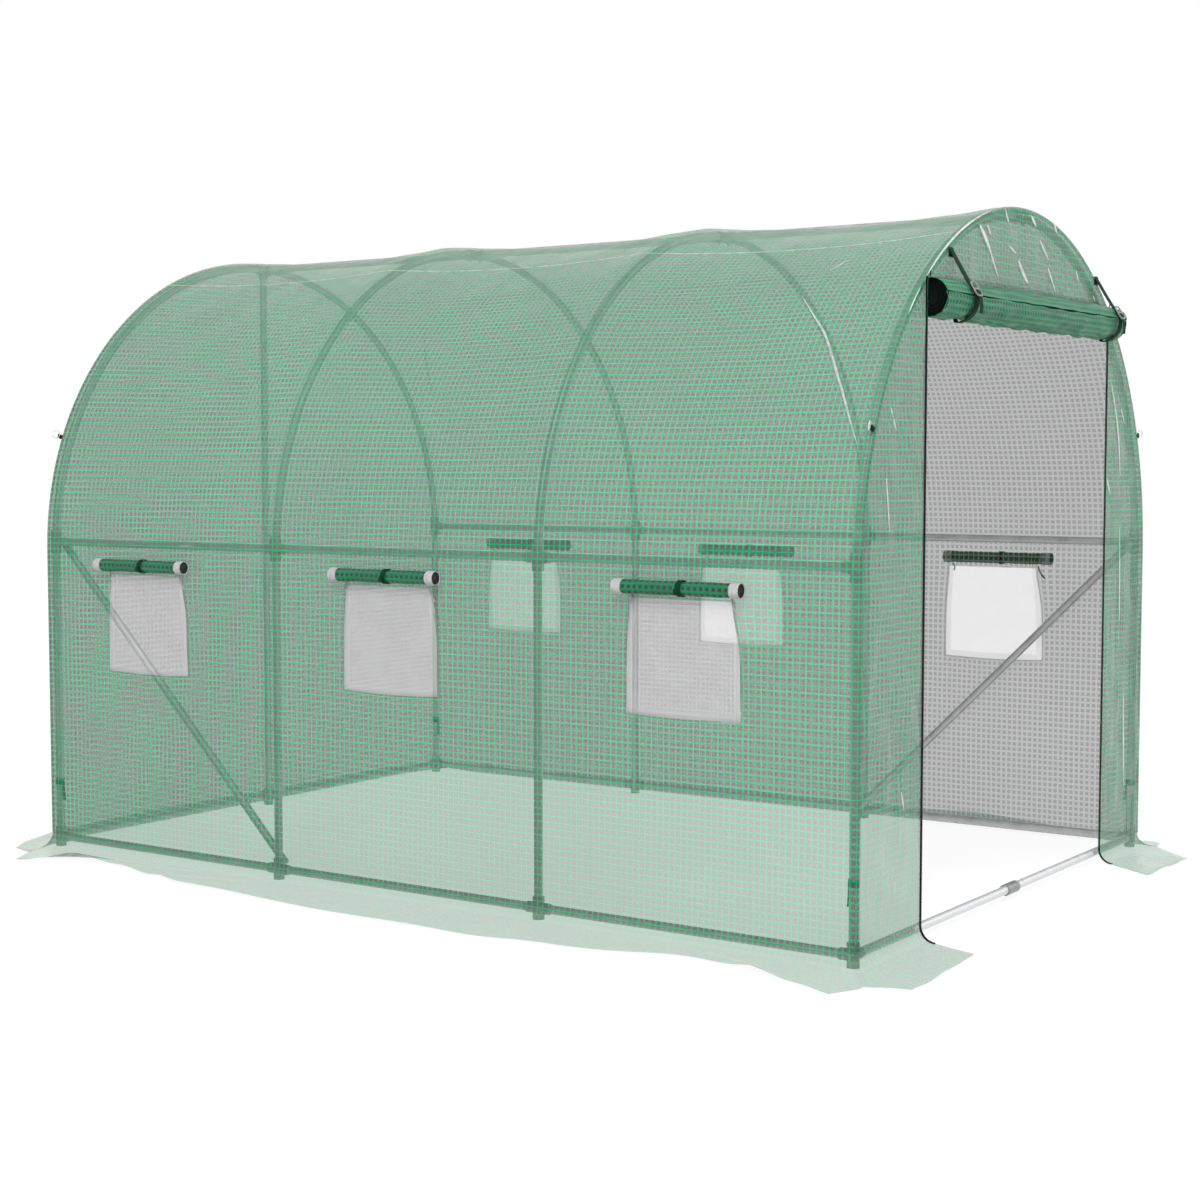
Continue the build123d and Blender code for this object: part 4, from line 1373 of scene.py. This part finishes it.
class TUNNEL_OT_door_straps(bpy.types.Operator):
    """Make the two webbing straps that hold the rolled door, with their slide buckles."""

    bl_idname = "tunnel.door_straps"
    bl_label = "Door straps and buckles"

    def execute(self, context):
        door = context.scene.tunnel.door
        webbing = material_once("Green webbing", woven_finish, door.strap_colour)
        dark = material_once("Edge webbing", woven_finish, EDGE_COLOUR)
        moulded = material_once("Buckle", moulded_finish, door.buckle_colour, 0.3)
        straps, buckles = [], []
        for x, top in zip(STRAP_PLACES, STRAP_TOPS):
            straps += self.strap(x, top)
            buckles += self.buckle(x)
        make_piece("door_webbing", straps, [webbing, dark], ("door_straps",), weld=True)
        make_piece("slide_buckles", buckles, [moulded], ("door_buckles",), weld=True)
        return {"FINISHED"}

    def strap(self, x, top_x):
        """From the header down to the roll in a slack curve, once round it, and back up behind."""
        radius = ROLL_RADIUS + 0.0014
        top = np.array([-END_PLANE - 0.004, 1.869])
        meet = math.radians(38)
        t = np.linspace(0, 1, 20)[:-1, None]
        flat = (ROLL_BACK + 0.0014) / radius
        run_end = roll_point(np.array([meet]), radius)[0]
        bow = np.array([-0.004, -0.008]) * np.sin(t * math.pi)
        run = top + (run_end - top) * t + bow
        behind = np.radians((184, 192, 210, 270, 330, 346))
        turns = np.concatenate([np.linspace(meet, math.radians(178), 40), behind])
        loop = roll_point(turns, radius * flattened(turns, flat))
        path = on_plane(x, np.concatenate([run, loop]))
        path[:len(run), 0] = (top_x + (x - top_x) * t)[:, 0]
        band = swept(path, strap_profile(0.026, 0.0017), X_AXIS)
        edges = [swept(path + np.array([way * 0.0125, 0, 0]), strap_profile(0.0026, 0.0026), X_AXIS)
                 for way in (-1, 1)]
        t = np.linspace(0, 1, 16)
        start = roll_point(np.array([math.radians(66)]), radius + 0.008)[0]
        tail = start + np.stack([-0.006 * np.sin(t * 2.6) - 0.004 * t, -0.062 * t], -1)
        loose = swept(on_plane(x + 0.004, tail), strap_profile(0.022, 0.0015), X_AXIS)
        patch = on_plane(top_x, np.stack([np.full(4, -END_PLANE - 0.003), np.linspace(1.850, 1.876, 4)], -1))
        sewn = swept(patch, strap_profile(0.030, 0.0018), X_AXIS)
        return [(*band, 0), (*edges[0], 1), (*edges[1], 1), (*loose, 0), (*sewn, 0)]

    def buckle(self, x):
        """A slide buckle: a rounded frame, and a bar across its middle, on the strap at 60 degrees."""
        lean = math.radians(60)
        centre = np.array([x, *roll_point(np.array([lean]), ROLL_RADIUS + 0.0068)[0]])
        down = np.array([0, -math.cos(lean), -math.sin(lean)])
        out = np.array([0, -math.sin(lean), math.cos(lean)])
        a = full_turn(40)
        power = 0.42
        u = np.sign(np.cos(a)) * np.abs(np.cos(a)) ** power * BUCKLE_WIDTH / 2
        v = np.sign(np.sin(a)) * np.abs(np.sin(a)) ** power * BUCKLE_HEIGHT / 2
        ring = centre + u[:, None] * X_AXIS + v[:, None] * down
        frame_part = swept(ring, strap_profile(0.0052, 0.0042)[:, ::-1], out, closed_path=True)
        bar = centre + np.linspace(-0.0150, 0.0150, 6)[:, None] * X_AXIS
        return [(*frame_part, 0), (*swept(bar, strap_profile(0.0056, 0.0036)[:, ::-1], out), 0)]


TOOTH_SIZE = np.array([0.0044, 0.0024, 0.0026])
TOOTH_PITCH = 0.0042


class TUNNEL_OT_zips(bpy.types.Operator):
    """Make the zips down both sides of the doorway: tape, teeth and slider."""

    bl_idname = "tunnel.zips"
    bl_label = "Zips"

    def execute(self, context):
        settings = context.scene.tunnel
        door = settings.door
        tape = material_once("Zip tape", woven_finish, door.zip_colour, 0.001)
        teeth = material_once("Zip teeth", moulded_finish, (0.003, 0.006, 0.004), 0.5, 0.1)
        parts = []
        for side in (-1, 1):
            parts += self.one_side(side, door.zip_width, settings.skirt.bend)
        make_piece("zips", parts, [tape, teeth], ("door_zips",), weld=True)
        return {"FINISHED"}

    def one_side(self, side, width, bend):
        """A tape down the doorway's edge and out round the bend, with teeth along its free edge."""
        edge = abs(DOOR_LEFT)
        out = END_PLANE + 0.0010
        straight = np.linspace(HEADER_FOOT - 0.001, BEND_TOP, 60)
        turn = np.linspace(0, QUARTER, 12)[1:]
        y = np.concatenate([np.full(60, -out), -END_PLANE - bend + (bend - 0.0010) * np.cos(turn)])
        z = np.concatenate([straight, BEND_TOP - (bend - 0.0010) * np.sin(turn)])
        path = xyz(side * (edge + width / 2), y, z)
        band = swept(path, strap_profile(width, 0.0014), X_AXIS)
        steps = np.concatenate([[0], np.cumsum(np.linalg.norm(np.diff(path, axis=0), axis=1))])
        at = np.arange(0.004, steps[-1] - 0.004, TOOTH_PITCH)
        place = np.stack([np.interp(at, steps, path[:, i]) for i in range(3)], -1)
        ahead = unit(np.stack([np.interp(at + 0.001, steps, path[:, i]) for i in range(3)], -1) - place)
        normal = np.cross(X_AXIS, ahead)
        corner = [(u, v, w) for w in (-1, 1) for u, v in ((-1, -1), (1, -1), (1, 1), (-1, 1))]
        size = np.array(corner) * TOOTH_SIZE / 2
        centre = place - X_AXIS * side * (width / 2 - 0.0016)
        teeth = (
            centre[:, None] + size[None, :, :1] * X_AXIS + size[None, :, 1:2] * ahead[:, None]
            + size[None, :, 2:] * normal[:, None]
        )
        box_faces = np.array([
            (0, 3, 2, 1), (4, 5, 6, 7), (0, 1, 5, 4), (1, 2, 6, 5), (2, 3, 7, 6), (3, 0, 4, 7)])
        faces = (np.arange(len(at))[:, None, None] * 8 + box_faces[None]).reshape(-1, 4)
        blank = np.zeros((len(at) * 8, 2))
        slider_at = np.array([side * edge, -out - 0.0022, HEADER_FOOT - 0.016])
        slider = slider_at + np.linspace(0, 1, 5)[:, None] * np.array([0, 0, 0.013])
        hung = np.linspace(0, 1, 7)[:, None] * np.array([0, -0.001, 0.024])
        pull = slider_at + np.array([0, -0.004, 0.004]) + hung
        return [
            (*band, 0), (teeth, blank, faces, 1),
            (*swept(slider, strap_profile(0.008, 0.0045), X_AXIS), 1),
            (*swept(pull, strap_profile(0.0060, 0.0014), X_AXIS), 1),
        ]


# Rings, ties and fasteners

RING_HEIGHT = 1.380
RING_RADIUS = 0.0127
TAB_REACH = 0.0165
FRONT_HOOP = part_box("front_hoop")
TUBE_RADIUS = (FRONT_HOOP[1].y - FRONT_HOOP[0].y) / 2


class TUNNEL_OT_rings(bpy.types.Operator):
    """Make the rings that the guy lines tie to, with their webbing tabs."""

    bl_idname = "tunnel.rings"
    bl_label = "Rings and tabs"

    def execute(self, context):
        steel = material_once("Ring steel", steel_finish, (0.70, 0.70, 0.70), 0.3)
        webbing = material_once("Edge webbing", woven_finish, EDGE_COLOUR)
        rings, tabs = [], []
        angle = math.asin((RING_HEIGHT - SHOULDER) / COVER_RADIUS)
        turn = math.radians(20)
        a, t = full_turn(36), np.linspace(-1, 1, 24)
        for side in (-1, 1):
            out = np.array([side * math.cos(angle), 0, math.sin(angle)])
            up = np.array([-side * math.sin(angle), 0, math.cos(angle)])
            for end, hoop in ((-1, HOOP_PLACES[0]), (1, HOOP_PLACES[-1])):
                origin = np.array([0, hoop + end * 0.020, SHOULDER])
                turned = math.cos(turn) * out + math.sin(turn) * end * Y_AXIS
                middle = origin + (COVER_RADIUS + TAB_REACH + RING_RADIUS - 0.0035) * out
                circle = middle + RING_RADIUS * (np.cos(a)[:, None] * turned + np.sin(a)[:, None] * up)
                rings.append((*swept(circle, round_profile(0.0013, 10), Y_AXIS, closed_path=True), 0))
                far = COVER_RADIUS + TAB_REACH - TAB_REACH * np.abs(t) ** 2.4
                lift = 0.0026 * np.sign(t) * np.abs(t) ** 0.7
                fold = origin + far[:, None] * out + lift[:, None] * Y_AXIS
                tabs.append((*swept(fold, strap_profile(0.014, 0.0010), up), 0))
        make_piece("guy_line_rings", rings, [steel], ("guy_rings",), weld=True)
        make_piece("ring_tabs", tabs, [webbing], ("guy_tabs",), weld=True)
        return {"FINISHED"}


class TUNNEL_OT_ties(bpy.types.Operator):
    """Make the straps that tie the cover to the corner uprights."""

    bl_idname = "tunnel.ties"
    bl_label = "Corner ties"

    def execute(self, context):
        webbing = material_once("Edge webbing", woven_finish, EDGE_COLOUR)
        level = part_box("cover_ties")[1].z - 0.011
        a, t = full_turn(32), np.linspace(0, 1, 14)
        parts = []
        for side in (-1, 1):
            x = side * (FRONT_HOOP[1].x - TUBE_RADIUS)
            for y, inward in ((HOOP_PLACES[0], 1), (HOOP_PLACES[-1], -1)):
                reach = TUBE_RADIUS + 0.0012
                ring = xyz(x + reach * np.cos(a), y + reach * np.sin(a), level + 0.0015 * np.sin(a))
                parts.append((*swept(ring, strap_profile(0.020, 0.0013), Z_AXIS, closed_path=True), 0))
                tail = xyz(x - side * 0.003 * t, y + inward * (TUBE_RADIUS + 0.0016 + 0.004 * t**2),
                           level + 0.006 - 0.070 * t)
                parts.append((*swept(tail, strap_profile(0.011, 0.0012), X_AXIS), 0))
        make_piece("corner_ties", parts, [webbing], ("cover_ties",), weld=True)
        return {"FINISHED"}


MID_RAIL, BASE_RAIL, RIDGE = 1.030, 0.032, 2.010  # heights of the rails' middles
TUBE_OUT = 0.0125  # how far the tubes' skins stand from their middles
BOLT_OUT = 0.0165  # how far the joints' skins stand from the tubes' middles


class TUNNEL_OT_bolts(bpy.types.Operator):
    """Make the bolts and nuts that clamp the joints."""

    bl_idname = "tunnel.bolts"
    bl_label = "Bolts and nuts"

    def execute(self, context):
        zinc = material_once("Bolt zinc", steel_finish, (0.62, 0.62, 0.60), 0.3)
        parts = []
        sleeve = abs(FRONT_HOOP[1].x) - TUBE_OUT - BOLT_OUT
        for side in (-1, 1):
            for y in HOOP_PLACES:
                for z in (MID_RAIL + 0.027, MID_RAIL - 0.027, BASE_RAIL + 0.026):
                    parts += self.bolt((side * sleeve, y, z), (-side, 0, 0))
        for y in HOOP_PLACES:
            for x in (-0.027, 0.027):
                parts += self.bolt((x, y, RIDGE - 0.0175), (0, 0, -1))
        for x in (-0.025, 0.025):
            parts += self.bolt((x, HOOP_PLACES[0] + BOLT_OUT, BASE_RAIL), (0, 1, 0))
        make_piece("joint_bolts", parts, [zinc], (), weld=True)
        return {"FINISHED"}

    def bolt(self, place, axis):
        """A washer, a hexagonal nut and the bolt's end about one axis."""
        place, axis = np.array(place, float), np.array(axis, float)
        across = Y_AXIS if abs(axis[1]) < 0.5 else X_AXIS
        sizes = ((0.0, 0.0012, 0.0068, 12), (0.0012, 0.0052, 0.0048, 6), (0.0052, 0.0085, 0.0026, 8))
        return [(*swept(place + np.array([[low], [high]]) * axis, round_profile(radius, sides), across), 0)
                for low, high, radius, sides in sizes]


# Tubes

class TUNNEL_OT_tubes(bpy.types.Operator):
    """Give the tubes and their joints their galvanised skin."""

    bl_idname = "tunnel.tubes"
    bl_label = "Tubes and joints"

    def execute(self, context):
        colour = context.scene.tunnel.tube.steel
        steel = steel_finish("Galvanised steel", colour)
        # A lighter, less mottled copy of the steel: painted light.
        lit_steel = steel_finish("Bright steel", [c * 1.55 for c in colour], 0.5, 0.05)
        pressed = steel_finish("Pressed steel", [c * 0.72 for c in colour], 0.42)
        slots = {s["node"]: s["material_slot"] for s in frame["record"]["subparts"]}
        for name, node in frame["nodes"].items():
            if slots.get(name) in ("tube", "joint"):
                node.data.materials.clear()
                # The front base rail, out in the open doorway, gets the lighter copy: painted light.
                tube = lit_steel if name == "front_base_rail" else steel
                node.data.materials.append(tube if slots[name] == "tube" else pressed)
        return {"FINISHED"}


# Stage

CAMERA_PLACE = (-5.6884, -3.9036, 1.3012)
CAMERA_AZIMUTH = math.radians(-55.6948)
CAMERA_ELEVATION = math.radians(3.8728)
CAMERA_LENS = 61.745
FLOOR_REACH = 60.0
FLOOR_GLOW = 0.84
SURROUND_LIGHT = 0.70
FILM_LAYERS = 40  # faces of film that one line of sight may pass through


def lamp(name, place, aim, size, power):
    """An even square lamp at a place, turned to its aim."""
    light = bpy.data.lights.new(name, "AREA")
    light.shape = "SQUARE"
    light.size = size
    light.energy = power
    holder = link(bpy.data.objects.new(name, light))
    holder.location = place
    holder.rotation_euler = (Vector(aim) - Vector(place)).to_track_quat("-Z", "Y").to_euler()


class TUNNEL_OT_stage(bpy.types.Operator):
    """Set the floor, the white surround, the lamps and the camera."""

    bl_idname = "tunnel.stage"
    bl_label = "Stage"

    def execute(self, context):
        scene = context.scene
        scene.view_settings.view_transform = "Standard"
        scene.cycles.transparent_max_bounces = FILM_LAYERS
        self.add_floor()
        self.add_surround(scene)
        lamp("Key lamp", (-7.5, -3.0, 7.0), (0, 0, 0.8), 3.0, 420)
        lamp("Right lamp", (5.5, -7.0, 5.2), (0, -1.0, 1.2), 1.6, 120)
        camera = link(bpy.data.objects.new("Camera", bpy.data.cameras.new("Camera")))
        camera.data.sensor_width = 36
        camera.data.lens = CAMERA_LENS
        back = Vector((
            math.sin(CAMERA_AZIMUTH) * math.cos(CAMERA_ELEVATION),
            -math.cos(CAMERA_AZIMUTH) * math.cos(CAMERA_ELEVATION),
            math.sin(CAMERA_ELEVATION),
        ))
        right = Vector((math.cos(CAMERA_AZIMUTH), math.sin(CAMERA_AZIMUTH), 0))
        turn = Matrix((right, back.cross(right), back)).transposed().to_4x4()
        camera.matrix_world = Matrix.Translation(CAMERA_PLACE) @ turn
        scene.camera = camera
        return {"FINISHED"}

    def add_floor(self):
        """A wide pale floor that is white to the eye and keeps a soft shadow."""
        graph = Graph("Floor")
        place = graph.place()
        grain = graph.noise(place, 3.0, 3.0)
        tint = graph.blend(grain, (0.76, 0.76, 0.76, 1), (0.80, 0.80, 0.80, 1))
        faint = graph.blend(grain, (0.23, 0.23, 0.23, 1), (0.25, 0.25, 0.25, 1))
        plain = graph.add("BsdfDiffuse", {"Color": tint})
        shaded = graph.add("BsdfDiffuse", {"Color": faint})
        glow = graph.add("Emission", {"Color": (1, 1, 1, 1), "Strength": FLOOR_GLOW})
        both = graph.add("AddShader", {0: shaded.outputs[0], 1: glow.outputs[0]})
        material = graph.finish(graph.mixed(graph.looked_at(), plain, both))
        side = np.linspace(-FLOOR_REACH, FLOOR_REACH, 9)
        x, y = np.meshgrid(side, side, indexing="ij")
        points = np.stack([x, y, np.full_like(x, -0.0005)], -1)
        faces = grid_faces(*x.shape)
        mesh = bpy.data.meshes.new("floor")
        mesh.from_pydata(points.reshape(-1, 3).tolist(), [], faces.tolist())
        mesh.materials.append(material)
        link(bpy.data.objects.new("floor", mesh))

    def add_surround(self, scene):
        """White where it is looked at, and an even pale light everywhere else."""
        graph = Graph("Surround", world=True)
        light = graph.add("Background", {"Color": (1, 1, 1, 1), "Strength": SURROUND_LIGHT})
        white = graph.add("Background", {"Color": (1, 1, 1, 1), "Strength": 1.0})
        scene.world = graph.finish(graph.mixed(graph.looked_at(), light, white))


class TUNNEL_PT_panel(bpy.types.Panel):
    """The polytunnel's settings and its makers, in the 3D view's sidebar."""

    bl_idname = "TUNNEL_PT_panel"
    bl_label = "Polytunnel"
    bl_space_type = "VIEW_3D"
    bl_region_type = "UI"
    bl_category = "Polytunnel"

    def draw(self, context):
        settings = context.scene.tunnel
        for group in ("film", "skirt", "window", "roll", "door", "tube"):
            box = self.layout.box()
            box.label(text=group.capitalize())
            part = getattr(settings, group)
            for name in part.__annotations__:
                box.prop(part, name)
        for maker in MAKERS:
            self.layout.operator(maker.bl_idname)


MAKERS = (
    TUNNEL_OT_stage,
    TUNNEL_OT_tubes,
    TUNNEL_OT_cover,
    TUNNEL_OT_end_walls,
    TUNNEL_OT_crease_highlights,
    TUNNEL_OT_window_nets,
    TUNNEL_OT_window_rolls,
    TUNNEL_OT_door_roll,
    TUNNEL_OT_door_straps,
    TUNNEL_OT_zips,
    TUNNEL_OT_rings,
    TUNNEL_OT_ties,
    TUNNEL_OT_bolts,
)
GROUPS = (
    FilmSettings, SkirtSettings, WindowSettings, RollSettings, DoorSettings, TubeSettings, TunnelSettings)


def register():
    for cls in (*GROUPS, *MAKERS, TUNNEL_PT_panel):
        bpy.utils.register_class(cls)
    bpy.types.Scene.tunnel = bpy.props.PointerProperty(type=TunnelSettings)


def unregister():
    del bpy.types.Scene.tunnel
    for cls in reversed((*GROUPS, *MAKERS, TUNNEL_PT_panel)):
        bpy.utils.unregister_class(cls)


def main():
    register()
    for maker in MAKERS:
        area, name = maker.bl_idname.split(".")
        getattr(getattr(bpy.ops, area), name)()


if __name__ == "__main__":
    main()
